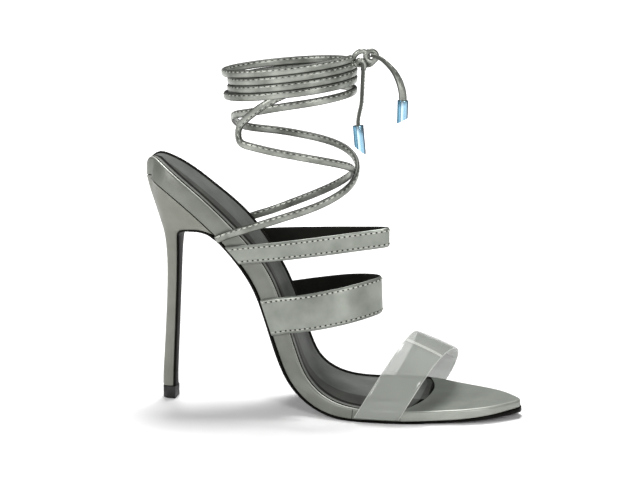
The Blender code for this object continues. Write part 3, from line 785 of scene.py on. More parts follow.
@dataclass(frozen=True)
class BlueMetal:
    """Polished metal with a pale blue cast, and long dark and bright streaks round the tube painted as
    reflections by the way each face looks.
    """

    name: str
    painted_reflections: tuple[tuple[float, Colour], ...]
    roughness: float
    metallic: float = 0.85
    scale: float = 500.0
    depth: float = 0.00004

    def build(self) -> bpy.types.Material:
        """Makes the material.

        Returns:
            The material.
        """
        graph = Graph(self.name)
        # Painted reflections: the colour follows which way the surface faces
        split = graph.node("SeparateXYZ")
        graph.link(graph.node("TexCoord").outputs["Normal"], split.inputs["Vector"])
        scaled = graph.node("MapRange", From_Min=-1.0, From_Max=1.0)
        graph.link(split.outputs["X"], scaled.inputs["Value"])
        ramp = graph.node("ValToRGB")
        graph.link(scaled.outputs["Result"], ramp.inputs["Fac"])
        elements = ramp.color_ramp.elements
        while len(elements) < len(self.painted_reflections):
            elements.new(0.5)
        for element, (place, colour) in zip(elements, self.painted_reflections):
            element.position = place
            element.color = (*colour, 1.0)
        graph.link(ramp.outputs["Color"], graph.shader.inputs["Base Color"])
        graph.shader.inputs["Metallic"].default_value = self.metallic
        graph.shader.inputs["Roughness"].default_value = self.roughness
        normal = graph.bump(graph.noise(self.scale), self.depth, 0.3)
        graph.link(normal, graph.shader.inputs["Normal"])
        return graph.material


# Painted reflections: dark and bright bands by how far the surface faces along x, in place of mirrored
# surroundings
AGLET_PAINTED_REFLECTIONS: tuple[tuple[float, Colour], ...] = (
    (0.02, (0.010, 0.030, 0.060)),
    (0.10, (0.090, 0.230, 0.340)),
    (0.34, (0.170, 0.360, 0.490)),
    (0.42, (0.050, 0.120, 0.180)),
    (0.47, (0.580, 0.760, 0.870)),
    (0.55, (0.520, 0.700, 0.820)),
    (0.66, (0.220, 0.400, 0.530)),
    (0.86, (0.300, 0.480, 0.600)),
    (0.93, (0.020, 0.050, 0.090)),
    (0.99, (0.010, 0.030, 0.060)),
)


@dataclass
class Palette:
    """All the sandal's finishes, each made once."""

    leather: Leather = Leather(
        "satin_leather", (0.195, 0.209, 0.184), (0.285, 0.302, 0.270), 0.36, 0.55
    )
    rand: Leather = Leather(
        "rand_leather", (0.136, 0.143, 0.123), (0.178, 0.187, 0.164), 0.42, 0.35
    )
    # Lighter copy of the toe cover's leather for its sides: painted light, beside the darker painted top
    toe_side: Leather = Leather(
        "toe_side", (0.260, 0.275, 0.245), (0.310, 0.325, 0.292), 0.42, 0.35
    )
    # Lighter copy of the leather for the footbed's rim tops: a painted highlight along the rim
    edge: Leather = Leather("rim_highlight", (0.400, 0.415, 0.375), (0.490, 0.505, 0.465), 0.48, 0.3)
    # Darker copy of the toe cover's leather for its top faces: painted shade
    toe: Leather = Leather("shaded_toe_top", (0.205, 0.220, 0.196), (0.245, 0.261, 0.234), 0.42, 0.3)
    heel: Leather = Leather(
        "heel_leather", (0.152, 0.157, 0.131), (0.190, 0.196, 0.166), 0.44, 0.25
    )
    lace: Leather = Leather(
        "satin_lace", (0.110, 0.117, 0.100), (0.330, 0.345, 0.308), 0.33, 0.5, pores=2600.0
    )
    # Near-black copy of the lace leather for the tape's turned edges and the knot's sides: painted shade
    lace_edge: Leather = Leather(
        "lace_edge", (0.030, 0.032, 0.026), (0.060, 0.064, 0.054), 0.5, 0.2, pores=2600.0
    )
    sock: Leather = Leather(
        "sock_leather", (0.068, 0.073, 0.066), (0.100, 0.107, 0.097), 0.55, 0.0, pores=1500.0
    )
    # Darker copy of the sock leather: a painted shadow band on the outer side and at the sock's front,
    # under the toe cover's edge
    sock_shade: Leather = Leather(
        "sock_shade", (0.022, 0.024, 0.019), (0.045, 0.048, 0.040), 0.6, 0.0, pores=1500.0
    )
    # Lighter copy of the sock leather: painted light on the outer side's raised border
    sock_border: Leather = Leather(
        "sock_border", (0.115, 0.121, 0.108), (0.155, 0.162, 0.146), 0.5, 0.0, pores=1500.0
    )
    # Black: the straps' real lining, and painted shade in the footbed's recess, on the sock's wall and in
    # its pressed line
    lining: Leather = Leather(
        "black_lining_and_groove_shade", (0.006, 0.006, 0.005), (0.012, 0.012, 0.009), 0.6, shine=0.1
    )
    sole: Leather = Leather(
        "black_sole", (0.003, 0.003, 0.002), (0.006, 0.006, 0.005), 0.5, 0.0, pores=900.0, shine=0.06
    )
    tip: Plain = Plain("black_tip", (0.003, 0.003, 0.003), (0.006, 0.006, 0.005), 0.6)
    thread: Plain = Plain("grey_thread", (0.40, 0.41, 0.37), (0.52, 0.53, 0.48), 0.6, 3000.0)
    hole: Plain = Plain("stitch_hole", (0.006, 0.006, 0.005), (0.012, 0.012, 0.010), 0.8)
    clear: ClearSheet = ClearSheet("clear_strap", (0.330, 0.350, 0.318), 0.55, 0.16)
    # Lighter, more opaque copy of the clear sheet: a painted highlight on the strap's edges and along its
    # crease
    clear_edge: ClearSheet = ClearSheet("clear_edge", (0.560, 0.580, 0.540), 0.74, 0.15)
    metal: BlueMetal = BlueMetal("blue_metal", AGLET_PAINTED_REFLECTIONS, 0.18)
    built: dict[str, bpy.types.Material] = field(default_factory=dict)

    def get(self, name: str) -> bpy.types.Material:
        """Gives a finish's material, made the first time it is asked for.

        Args:
            name: The finish's field name.

        Returns:
            The material.
        """
        if name not in self.built:
            self.built[name] = getattr(self, name).build()
        return self.built[name]


# Stitching

@dataclass
class StitchRow:
    """A row of small thread stitches with a needle hole between each two."""

    pitch: float = 0.0027
    length: float = 0.0017
    radius: float = 0.00034
    hole: float = 0.00048
    lift: float = 0.0001
    sides: int = 6
    shoulder: float = 0.32
    hole_rings: Table = ((0.00003, 1.0), (-0.0004, 0.7))
    look: float = 2e-4

    def lay(self, path: np.ndarray, normals: np.ndarray) -> Patch:
        """Lays stitches along a path.

        Args:
            path: Points on the surface.
            normals: The surface's outward direction at each point.

        Returns:
            Points, faces, and each face's material number: 0 thread, 1 hole.
        """
        run = chords(path)
        count = max(1, int(run[-1] / self.pitch))
        at = (np.arange(count) + 0.5) * run[-1] / count
        points, faces, marks = [], [], []
        sides = self.sides
        turns = np.arange(sides) * 2.0 * math.pi / sides

        def read(rows: np.ndarray, place: float) -> np.ndarray:
            """Reads a row of vectors at a place along the path."""
            return np.array([np.interp(place, run, rows[:, i]) for i in range(3)])

        for k, place in enumerate(np.sort(np.concatenate([at, at + run[-1] / count / 2.0]))):
            if place > run[-1]:
                continue
            middle = read(path, place)
            up = unit(read(normals, place))
            along = unit(read(path, place + self.look) - read(path, place - self.look))
            aside = np.cross(up, along)
            base = len(points)
            if k % 2 == 0:
                points.append(middle - along * self.length / 2.0)
                for share in (-self.shoulder, self.shoulder):
                    centre = middle + along * self.length * share + up * self.lift
                    for turn in turns:
                        out = aside * math.cos(turn) + up * math.sin(turn)
                        points.append(centre + out * self.radius)
                points.append(middle + along * self.length / 2.0)
                near, far, end = base + 1, base + 1 + sides, base + 1 + 2 * sides
                for i in range(sides):
                    j = (i + 1) % sides
                    faces.append((base, near + j, near + i))
                    faces.append((near + i, near + j, far + j, far + i))
                    faces.append((end, far + i, far + j))
                marks += [0] * (3 * sides)
            else:
                for height, radius in self.hole_rings:
                    for turn in turns:
                        out = aside * math.cos(turn) + along * math.sin(turn)
                        points.append(middle + up * height + out * self.hole * radius)
                faces.append(tuple(base + i for i in range(sides)))
                faces.append(tuple(base + sides + i for i in range(sides - 1, -1, -1)))
                for i in range(sides):
                    j = (i + 1) % sides
                    faces.append((base + i, base + sides + i, base + sides + j, base + j))
                marks += [1] * (sides + 2)
        return np.array(points), faces, marks


def join(patches: list[Patch]) -> Patch:
    """Joins patches of faces into one.

    Args:
        patches: The points, faces and marks of each.

    Returns:
        All points, faces and marks.
    """
    points, faces, marks = [], [], []
    for patch_points, patch_faces, patch_marks in patches:
        shift = sum(len(p) for p in points)
        points.append(patch_points)
        faces += [tuple(i + shift for i in face) for face in patch_faces]
        marks += patch_marks
    return np.concatenate(points), faces, marks


def sew(name: str, rows: list[Patch], palette: Palette) -> bpy.types.Object:
    """Joins rows of stitches, as StitchRow.lay gives them, into one piece."""
    points, faces, marks = join(rows)
    return make_piece(name, points, faces, [palette.get("thread"), palette.get("hole")], marks)


# The sole's pieces

class BedFace(IntEnum):
    """The footbed's finishes, by the palette's names."""

    RAND = 0
    LINING = 1
    # The rim tops are painted lighter, as a highlight
    EDGE = 2
    # The toe cover's top is painted darker as shade and its sides lighter as light
    TOE = 3
    TOE_SIDE = 4


class SockFace(IntEnum):
    """The sock's finishes, by the palette's names."""

    SOCK = 0
    LINING = 1
    SOCK_SHADE = 2
    SOCK_BORDER = 3


class HeelLine(Enum):
    """The heel's two lines in side view."""

    BACK = "back"
    FRONT = "front"


@dataclass
class Footbed:
    """The wrapped board: rounded rim with a painted highlight, a black inner wall beside the sock as the
    groove's painted shade, and the toe cover with its top painted darker as shade.
    """

    rim: float = 0.0010
    groove: float = 0.0032
    corner: float = 0.0013
    foot_corner: float = 0.0006
    sock_bow: tuple[float, float] = (0.0098, 0.0060)
    columns: int = 21
    joint: float = 0.584
    joint_width: float = 0.0005
    toe_stop: float = 0.0003
    bow_length: float = 0.0358
    bow_peak: float = 0.4
    edge_steps: tuple[float, ...] = (0.0, 0.00015, 0.00045, 0.0009)
    wall: float = 0.00015
    floor: float = 0.0002
    floor_ends: tuple[float, float] = (-0.92, 0.94)

    def stations(self) -> np.ndarray:
        """Gives stations along the rim, close together at both ends and at the sock's front.

        Returns:
            The stations, rising.
        """
        back = crowded(LAST.heel_end, 0.10, 26)
        back = np.sort(np.concatenate([back, self.rim + np.array([0.0, 0.0001, 0.0006])]))
        toe = LAST.length - self.toe_stop - crowded(LAST.toe_end, 0.02, 16)
        front = LAST.at_share(LAST.sock_end)
        near = front + np.array([-0.0030, -0.0012, -0.0004, 0.0, 0.0004, 0.0010])
        body = np.linspace(back[-1], front - 0.004, 52)[1:]
        ahead = np.linspace(front + 0.002, toe[-1], 12)[:-1]
        joint = LAST.at_share(self.joint) + np.array([0.0, self.joint_width])
        return np.sort(np.concatenate([back, body, near, ahead, toe[::-1], joint]))

    def bend(self, s: float, share: float) -> float:
        """Moves a station back beside the middle, so that the sock ends in a round edge.

        Args:
            s: The station at the middle.
            share: Sideways place, from -1 on the outer side to 1 on the inner.

        Returns:
            The moved station.
        """
        front = LAST.at_share(LAST.sock_end)
        start = front - self.bow_length
        if s < start:
            return s
        pull = (s - start) / (front - start) if s < front else (LAST.length - s) / (LAST.length - front)
        if share < self.bow_peak:
            off, bow = (share - self.bow_peak) / (1.0 + self.bow_peak), self.sock_bow[0]
        else:
            off, bow = (share - self.bow_peak) / (1.0 - self.bow_peak), self.sock_bow[1]
        return s - max(0.0, pull) * off**2 * bow

    def depth(self, s: float, inset: float) -> float:
        """Gives the depth of the top face under the rim.

        Args:
            s: Station at the middle.
            inset: Distance in from the outline.

        Returns:
            The depth in metres.
        """
        away = min(inset, s, LAST.length - s)
        if away < self.corner:
            return self.corner - math.sqrt(self.corner**2 - (self.corner - away) ** 2)
        return self.groove if s < LAST.at_share(LAST.sock_end) else 0.0

    def build(self, palette: Palette) -> None:
        """Lofts the board, with black where it faces the sock.

        Args:
            palette: The finishes.
        """
        insets = [*self.edge_steps, self.rim, self.rim + self.wall]
        shares = tuple(np.linspace(*self.floor_ends, self.columns))
        rings = []
        for s in self.stations():
            ring = []
            for side, order in ((OUTER, insets), (INNER, insets[::-1])):
                if side == INNER:
                    for share in shares:
                        edge = OUTER if share < 0.0 else INNER
                        place = self.bend(s, share)
                        y = share * float(LAST.half(place, edge, self.rim + self.floor))
                        ring.append(LAST.point(place, y, self.depth(s, FAR)))
                for inset in order:
                    place = self.bend(s, side)
                    y = side * float(LAST.half(place, side, inset))
                    ring.append(LAST.point(place, y, self.depth(s, inset)))
            for side, steps in ((INNER, (0, 1, 2)), (OUTER, (2, 1, 0))):
                for step in steps:
                    place = self.bend(s, side)
                    turn = step * math.pi / 4.0
                    inset = self.foot_corner * (1.0 - math.cos(turn))
                    y = side * float(LAST.half(place, side, inset))
                    low = float(LAST.board(place)) + LAST.lap(place)
                    ring.append(LAST.point(place, y, low - self.foot_corner * (1.0 - math.sin(turn))))
            rings.append(ring)
        # Places round a ring: the recess, black as its groove's painted shade; its rims, lighter as a
        # painted highlight; and the wall outside
        around = len(rings[0])
        count = len(insets)
        inside = range(count - 2, count + len(shares) + 1)
        highlight_rims = (2, 3, count + len(shares) + 1, count + len(shares) + 2)
        marks = []
        front = LAST.at_share(LAST.sock_end)
        walls = (0, around - 1, around - 2, around - 3, around // 2)
        for s in self.stations()[:-1]:
            split = abs(s - LAST.at_share(self.joint)) < HAIR
            for i in range(around):
                mark = BedFace.LINING if split and i in walls else BedFace.RAND
                # Recess faces: black as the groove's painted shade behind the sock; ahead of the sock, the
                # toe cover's top, painted darker as shade
                if i in inside and s > self.rim:
                    mark = BedFace.LINING if s < front - HAIR else BedFace.TOE
                # The rim tops get the lighter leather, a painted highlight
                elif i in highlight_rims and s < front:
                    mark = BedFace.EDGE
                # All other faces ahead of the sock are the toe cover's sides, painted lighter as light
                elif s > front:
                    mark = BedFace.TOE_SIDE
                marks.append(int(mark))
        finishes = [palette.get(face.name.lower()) for face in BedFace]
        seat(loft("footbed_cover", np.array(rings), finishes, marks), Slot.LEATHER, "footbed")


@dataclass
class Sock:
    """The padded sock: a raised border, a pressed line inside it, then a dish with a soft floor."""

    inset: float = 0.0018
    foot: float = 0.0030
    low: float = 0.0009
    outer_depths: Table = (
        (0.0000, 0.00260),
        (0.0001, 0.00015),
        (0.0003, -0.00025),
        (0.0007, -0.00040),
        (0.0018, -0.00042),
        (0.0030, -0.00030),
        (0.0034, -0.00010),
        (0.0038, 0.00015),
        (0.0082, 0.00030),
        (0.0088, 0.00045),
        (0.0100, 0.00080),
        (0.0112, 0.00110),
        (0.0130, 0.00125),
    )
    inner_depths: Table = (
        (0.0000, 0.00260),
        (0.0001, 0.00130),
        (0.0004, 0.00100),
        (0.0012, 0.00090),
        (0.0026, 0.00095),
        (0.0034, 0.00080),
        (0.0042, 0.00100),
        (0.0070, 0.00125),
        (0.0104, 0.00130),
    )
    # Where the pressed line is painted black as shade, and where the outer side's painted shadow band
    # ends, in from the edge
    line: tuple[float, float] = (0.0034, 0.0082)
    shade: float = 0.0130
    shares: tuple[float, ...] = (-0.8, -0.6, -0.4, -0.2, 0.0, 0.2, 0.4, 0.6, 0.8)
    wall: float = 0.00025
    line_end: float = 0.5
    front_gap: float = 0.0005
    back_reach: float = 0.031
    front_room: float = 0.006
    front_blend: float = 0.010
    back_room: float = 0.001
    back_blend: float = 0.008

    def depth(self, away: float, share: float) -> float:
        """Gives the depth of the top under the rim.

        Args:
            away: Distance in from the sock's edge.
            share: Sideways place, from -1 on the outer side to 1 on the inner.

        Returns:
            The depth in metres.
        """
        depths = [np.interp(away, *np.array(table).T) for table in (self.outer_depths, self.inner_depths)]
        mix = clamp((share + 1.0) / 2.0)
        return float(depths[0] * (1.0 - mix) + depths[1] * mix)

    def finish(self, away: float, share: float, ahead: bool) -> SockFace:
        """Picks a face's material.

        Args:
            away: Distance in from the sock's edge.
            share: Sideways place, from -1 on the outer side to 1 on the inner.
            ahead: Whether the face lies at the sock's very front.

        Returns:
            The finish: black for the wall and the pressed line, as painted shade in those grooves; on the
                outer side a border outside the line painted lighter as light and a painted shadow band
                inside it; and painted shadow at the sock's very front.
        """
        # The sock's wall is black as the groove's painted shade
        if away < self.wall:
            return SockFace.LINING
        # The sock's front gets painted shadow, as if cast by the toe cover's edge
        if ahead:
            return SockFace.SOCK_SHADE
        # The pressed line is black as painted shade in its groove, except on the inner side
        if share < self.line_end and self.line[0] - HAIR < away < self.line[1] - HAIR:
            return SockFace.LINING
        # Only on the outer side: the border is painted lighter as light and the band inside the line
        # darker as painted shadow
        if share < 0.0 and away < self.shade - HAIR:
            return SockFace.SOCK_BORDER if away < self.line[0] - HAIR else SockFace.SOCK_SHADE
        return SockFace.SOCK

    def build(self, palette: Palette, bed: Footbed) -> None:
        """Lays the sock in the board's recess.

        Args:
            palette: The finishes.
            bed: The board, whose curved front edge it follows.
        """
        front = LAST.at_share(LAST.sock_end) - self.front_gap
        begin = self.inset
        steps = np.array(self.outer_depths)[:, 0]
        innermost = float(steps[-1])
        back = begin + crowded(self.back_reach, 0.04, 24)
        body = np.linspace(back[-1], front - 0.016, 60)[1:]
        stations = np.unique(np.round(np.concatenate([begin + steps, back, body, front - steps]), 6))
        across = [(OUTER, float(d)) for d in steps] + [(share, -1.0) for share in self.shares]
        across += [(INNER, float(d)) for d in np.array(self.inner_depths)[::-1, 0]]
        rings, marks = [], []
        for s in stations:
            top, foot = [], []
            for side, inset in across:
                edge = OUTER if side < 0.0 else INNER
                share = abs(side) if inset < 0.0 else 1.0
                spare = self.inset + (innermost if inset < 0.0 else inset)
                wide = float(LAST.half(max(s, LAST.heel_end), edge))
                place = bed.bend(s, edge * share * (1.0 - spare / wide))
                y = share * edge * float(LAST.half(place, edge, spare))
                away = max(0.0, min(inset if inset >= 0.0 else FAR, s - begin, front - s))
                behind = clamp((front - s - self.front_room) / self.front_blend)
                inside = behind * clamp((s - begin - self.back_room) / self.back_blend)
                deep = self.depth(away, side) * inside + self.low * (1.0 - inside)
                top.append(LAST.point(place, y, deep))
                foot.append(LAST.point(place, y, self.foot))
                marks.append(int(self.finish(away, side, behind == 0.0)))
            rings.append(top + [foot[-1], foot[len(foot) // 2], foot[0]])
            marks += [int(SockFace.LINING)] * 3
        finishes = [palette.get(face.name.lower()) for face in SockFace]
        around = len(rings[0])
        cap = int(SockFace.LINING)
        piece = loft("sock_pad", np.array(rings), finishes, marks[:-around], cap)
        seat(piece, Slot.SOCK, "sock")


@dataclass
class Heel:
    """The covered heel, its black tip, and the ring seam between them."""

    front_flat: float = 0.35
    tip_width: float = 0.0088
    bevel: float = 0.0005
    places: tuple[float, ...] = (
        0.0, 0.02, 0.08, 0.16, 0.25, 0.35, 0.46, 0.57, 0.67, 0.76, 0.84, 0.9, 0.95, 0.985, 1.0
    )
    widest: float = 0.65
    corner: float = 0.06
    foot_taper: float = 0.93
    chamfer: float = 0.0004
    top_chamfer: float = 0.0003

    def column(self, number: int, at: float) -> float:
        """Reads one column of the heel's table smoothly between its rings."""
        rows = np.array(HEEL_ROWS)
        return float(spline(np.arange(len(rows)), rows[:, number], at))

    def line(self, at: float, end: HeelLine) -> np.ndarray:
        """Gives the back or front line in side view.

        Args:
            at: Ring number, from 0 at the tip.
            end: Which of the two lines.

        Returns:
            The line's x and z.
        """
        back = end is HeelLine.BACK
        tip_x = -LAST.tip_depth / 2.0 if back else LAST.tip_depth / 2.0 - LAST.breast_cover - LAST.gap
        top = LAST.under(0.0 if back else LAST.lip, LAST.gap)
        foot_z = LAST.tip_height + LAST.gap
        x = tip_x + self.column(0 if back else 2, at) * (top[0] - tip_x)
        z = foot_z + self.column(1 if back else 3, at) * (top[1] - foot_z)
        return np.array([x, z])

    def half(self, at: float, place: float, side: float) -> float:
        """Gives the half width at one place of a ring.

        Args:
            at: Ring number, from 0 at the tip.
            place: 0 at the ring's front, 1 at its back.
            side: OUTER or INNER.

        Returns:
            The half width in metres.
        """
        seat_half = float(LAST.half(LAST.lip * self.widest, side))
        spread = self.column(4, at)
        ring_half = LAST.stem_width / 2.0 + spread * (seat_half - LAST.stem_width / 2.0)
        seat_shape = float(LAST.half(LAST.lip * (1.0 - place), side)) / seat_half
        weight = clamp(self.column(5, at))
        rounded = 1.0 - self.corner * max(0.0, 1.0 - place / self.corner) * (1.0 - weight)
        return ring_half * (self.stem_shape(place) * (1.0 - weight) + seat_shape * weight) * rounded

    def stem_shape(self, place: float) -> float:
        """Gives a stem's width at a place from front to back, as a share of its widest."""
        bend = max(0.0, (place - self.front_flat) / (1.0 - self.front_flat))
        return math.sqrt(max(0.0, 1.0 - bend**2))

    def ring(self, at: float) -> list[Place]:
        """Gives one ring, front to back on the outer side and back to front on the inner.

        Args:
            at: Ring number, from 0 at the tip.

        Returns:
            The ring's points.
        """
        front = self.line(at, HeelLine.FRONT)
        back = self.line(at, HeelLine.BACK)
        top = len(HEEL_ROWS) - 1
        rows = {OUTER: [], INNER: []}
        for place in self.places:
            under = LAST.under(LAST.lip * (1.0 - place), LAST.gap)
            weight = max(0.0, at - (top - 1)) ** 2
            flat = (front + (back - front) * place) * (1.0 - weight) + under * weight
            for side in (OUTER, INNER):
                half = self.half(at, place, side) if place < 1.0 else 0.0
                rows[side].append((flat[0], side * half, flat[1]))
        return rows[OUTER] + rows[INNER][-2::-1]

    def build(self, palette: Palette) -> None:
        """Makes the heel's cover and the tip.

        Args:
            palette: The finishes.
        """
        stem = np.linspace(0.2, 4.0, 14)
        spread = np.linspace(4.2, len(HEEL_ROWS) - 1.0, 34)
        rings = np.array([self.ring(float(at)) for at in np.concatenate([[0.0, 0.01], stem, spread])])
        middle = rings[0, :, :2].mean(axis=0)
        rings[0, :, :2] = (rings[0, :, :2] - middle) * self.foot_taper + middle
        rings[1, :, 2] += self.bevel
        seat(loft("heel_cover", rings, [palette.get("heel")]), Slot.LEATHER, "heel")
        rings = []
        heights = (0.0, self.chamfer, LAST.tip_height - self.top_chamfer, LAST.tip_height)
        for z, spare in zip(heights, (self.chamfer, 0.0, 0.0, self.top_chamfer)):
            ring = {OUTER: [], INNER: []}
            for place in self.places:
                half = max(0.0, self.tip_width / 2.0 * self.stem_shape(place) - spare)
                x = (0.5 - place) * (LAST.tip_depth - spare * 2.0)
                for side in (OUTER, INNER):
                    ring[side].append((x, side * half, z))
            rings.append(ring[OUTER] + ring[INNER][-2::-1])
        seat(loft("heel_top_piece", np.array(rings), [palette.get("tip")]), Slot.TIP, "heel_tip")


@dataclass
class Outsole:
    """The black sole: under the ball, up the waist, round the lip and down the heel's breast."""

    proud_run: float = 0.02
    full_at: float = 0.52
    thin_at: float = 0.40
    breast_run: float = 3.0
    levels: Table = ((0.0, 0.0003), (0.22, 0.0), (0.6, 0.0002), (1.0, 0.0012))
    ground_lift: float = 0.0003

    def halves(self, s: float) -> tuple[float, float]:
        """Gives the half widths, a little proud of the footbed.

        Args:
            s: Station along the rim.

        Returns:
            The outer and the inner half width.
        """
        room = min(LAST.edge, LAST.edge * (s - LAST.lip) / self.proud_run) - LAST.lap(s)
        spare = room * (1.0 + max(0.0, 1.0 - (LAST.length - s) / LAST.toe_end))
        shift = float(LAST.middle(s))
        return float(LAST.half(s, OUTER)) + spare - shift, float(LAST.half(s, INNER)) + spare + shift

    def thickness(self, s: float) -> float:
        """Gives the thickness: full under the ball, thinner up the waist.

        Args:
            s: Station along the rim.

        Returns:
            The thickness in metres.
        """
        ball = LAST.at_share(self.full_at)
        waist = LAST.at_share(self.thin_at)
        share = clamp((s - waist) / (ball - waist))
        return LAST.waist_sole + (LAST.outsole - LAST.waist_sole) * share

    def build(self, palette: Palette, heel: Heel) -> None:
        """Lofts the sole with soft corners.

        Args:
            palette: The finishes.
            heel: The heel, whose front line the breast cover follows.
        """
        last = len(HEEL_ROWS) - 1
        toe = LAST.length - crowded(LAST.toe_end, 0.0, 16)
        body = np.linspace(toe[-1], LAST.lip + 0.004, 80)[1:]
        line = []
        for s in np.concatenate([toe, body]):
            lap = LAST.lap(s)
            line.append((*LAST.under(s, LAST.gap + lap), *self.halves(s), self.thickness(s) - lap))
        for at in np.linspace(last, 0.0, 75)[2:]:
            halves = [heel.half(at, 0.0, side) for side in (OUTER, INNER)]
            share = clamp((last - at) / self.breast_run)
            thick = LAST.waist_sole + (LAST.breast_cover - LAST.waist_sole) * share
            line.append((*heel.line(at, HeelLine.FRONT), *halves, thick))
        line = np.array(line)
        run = unit(np.gradient(line[:, :2], axis=0))
        away = np.stack([-run[:, 1], run[:, 0]], axis=1)
        rings = []
        for i, (x, z, outer, inner, thick) in enumerate(line):
            beyond = clamp((i - len(toe) - len(body) + 2) / 2.0)
            ring = []
            for side, half, steps in ((OUTER, outer, self.levels), (INNER, inner, self.levels[::-1])):
                for level, spare in steps:
                    flat = np.array([x, z]) + away[i] * (LAST.gap * beyond + thick * level)
                    flat[1] = max(0.0 if level == 1.0 else self.ground_lift, flat[1])
                    ring.append((flat[0], side * max(0.0, half - spare), flat[1]))
            rings.append(ring)
        seat(loft("sole_cover", np.array(rings), [palette.get("sole")]), Slot.SOLE, "outsole")


# Straps

# A band's section: share of the width, and share of half the thickness there
BAND_SECTION: Table = (
    (0.0, 0.0),
    (0.02, 0.55),
    (0.06, 0.88),
    (0.14, 1.0),
    (0.3, 1.0),
    (0.5, 1.0),
    (0.7, 1.0),
    (0.86, 1.0),
    (0.94, 0.88),
    (0.98, 0.55),
    (1.0, 0.0),
)


@dataclass
class Strap:
    """A band over the foot, fixed under the footbed at both sides."""

    name: str
    node: str
    edges: tuple[tuple[float, float], tuple[float, float]]
    reach: tuple[float, float]
    tilt: float
    arch: Table
    thickness: float = 0.0018
    stations: int = 96
    stitch_inset: float = 0.0017
    clear: bool = False
    crease_highlight_rows: tuple[int, int] = (42, 44)
    foot_shares: tuple[float, ...] = (1.0, 0.8, 0.6, 0.4, 0.2)
    stitch_run: float = 0.01

    def line(self, share: float) -> np.ndarray:
        """Gives one line of the band at a share of its width.

        Args:
            share: 0 at the rear or upper edge, 1 at the front or lower one.

        Returns:
            Evenly spaced points from the outer side's foot to the inner side's.
        """
        rear, front = np.array(self.edges)
        edge = rear + (front - rear) * share
        reach = self.reach[0] + (self.reach[1] - self.reach[0]) * share
        aim = np.array([math.cos(math.radians(self.tilt)), math.sin(math.radians(self.tilt))])
        at = {OUTER: LAST.at_share(edge[0]), INNER: LAST.at_share(edge[1])}
        rim = {side: LAST.rim(at[side]) for side in at}
        room = LAST.gap + self.thickness / 2.0
        base = {side: float(LAST.half(at[side], side)) + room for side in at}
        points = []
        for forward, aside in self.arch:
            side = OUTER if aside < 0.0 else INNER
            mix = clamp((aside + 1.0) / 2.0) ** 2
            flat = rim[OUTER] * (1.0 - mix) + rim[INNER] * mix + aim * forward * reach
            points.append([flat[0], aside * base[side], flat[1]])
        feet = {side: self.foot(at[side], side, aim, room) for side in at}
        over = smooth_path(np.array(points), self.stations)
        return np.concatenate([feet[OUTER], over, feet[INNER][::-1]])

    def foot(self, s: float, side: float, aim: np.ndarray, room: float) -> np.ndarray:
        """Gives the band's points on the footbed's side, from the outsole up to the rim.

        Args:
            s: Station along the rim.
            side: OUTER or INNER.
            aim: The band's direction in side view.
            room: Distance from the footbed's side to the band's middle.

        Returns:
            The points.
        """
        drop = (float(LAST.board(s)) - LAST.gap / 2.0) / float(aim @ LAST.up(s))
        points = []
        for share in self.foot_shares:
            flat = LAST.rim(s) - aim * drop * share
            station = LAST.station_of(*flat)[0]
            points.append([flat[0], side * (float(LAST.half(station, side)) + room), flat[1]])
        return np.array(points)

    def surface(self, shares: np.ndarray) -> tuple[np.ndarray, np.ndarray]:
        """Gives the band's middle surface and its outward normals.

        Args:
            shares: Shares of the band's width.

        Returns:
            The points and the normals, one row for each place along the band.
        """
        middle = np.stack([self.line(share) for share in shares], axis=1)
        normal = unit(np.cross(np.gradient(middle, axis=1), np.gradient(middle, axis=0)))
        return middle, normal

    def build(self, palette: Palette) -> None:
        """Makes the band; a leather band also gets its lining and its two rows of stitches.

        Args:
            palette: The finishes.
        """
        shares, heights = np.array(BAND_SECTION).T
        middle, normal = self.surface(shares)
        half = (heights * self.thickness / 2.0)[None, :, None]
        outer = middle + normal * half
        inner = middle - normal * half
        rings = np.concatenate([outer, inner[:, -2:0:-1]], axis=1)
        around = rings.shape[1]
        width = len(shares)
        if self.clear:
            # The edge faces and, across the crease rows, the whole outer face get the lighter sheet as a
            # painted highlight
            edge = [int(i in (0, width - 2)) for i in range(around)]
            crease_highlight = [int(i < width - 1) for i in range(around)]
            marks = [crease_highlight if row in range(*self.crease_highlight_rows) else edge for row in range(len(rings) - 1)]
            finishes = [palette.get("clear"), palette.get("clear_edge")]
            seat(loft(self.name, rings, finishes, sum(marks, [])), Slot.CLEAR, self.node)
            return
        marks = [1 if i >= width - 1 else 0 for i in range(around)]
        finishes = [palette.get("leather"), palette.get("lining")]
        seat(loft(self.name, rings, finishes, marks), Slot.LEATHER, self.node)
        rows = []
        at_side = middle[len(middle) // 4]
        span = float(np.linalg.norm(at_side[-1] - at_side[0]))
        for share in (self.stitch_inset / span, 1.0 - self.stitch_inset / span):
            sides = np.clip(share + np.array([-self.stitch_run, 0.0, self.stitch_run]), 0.0, 1.0)
            line, up = self.surface(sides)
            rows.append(StitchRow().lay(line[:, 1] + up[:, 1] * self.thickness / 2.0, up[:, 1]))
        stitches = sew(self.name + "_stitches", rows, palette)
        seat(stitches, Slot.LEATHER)
        LOG.info("%s: %.0f mm wide at its side", self.name, span * 1000.0)


# Laces

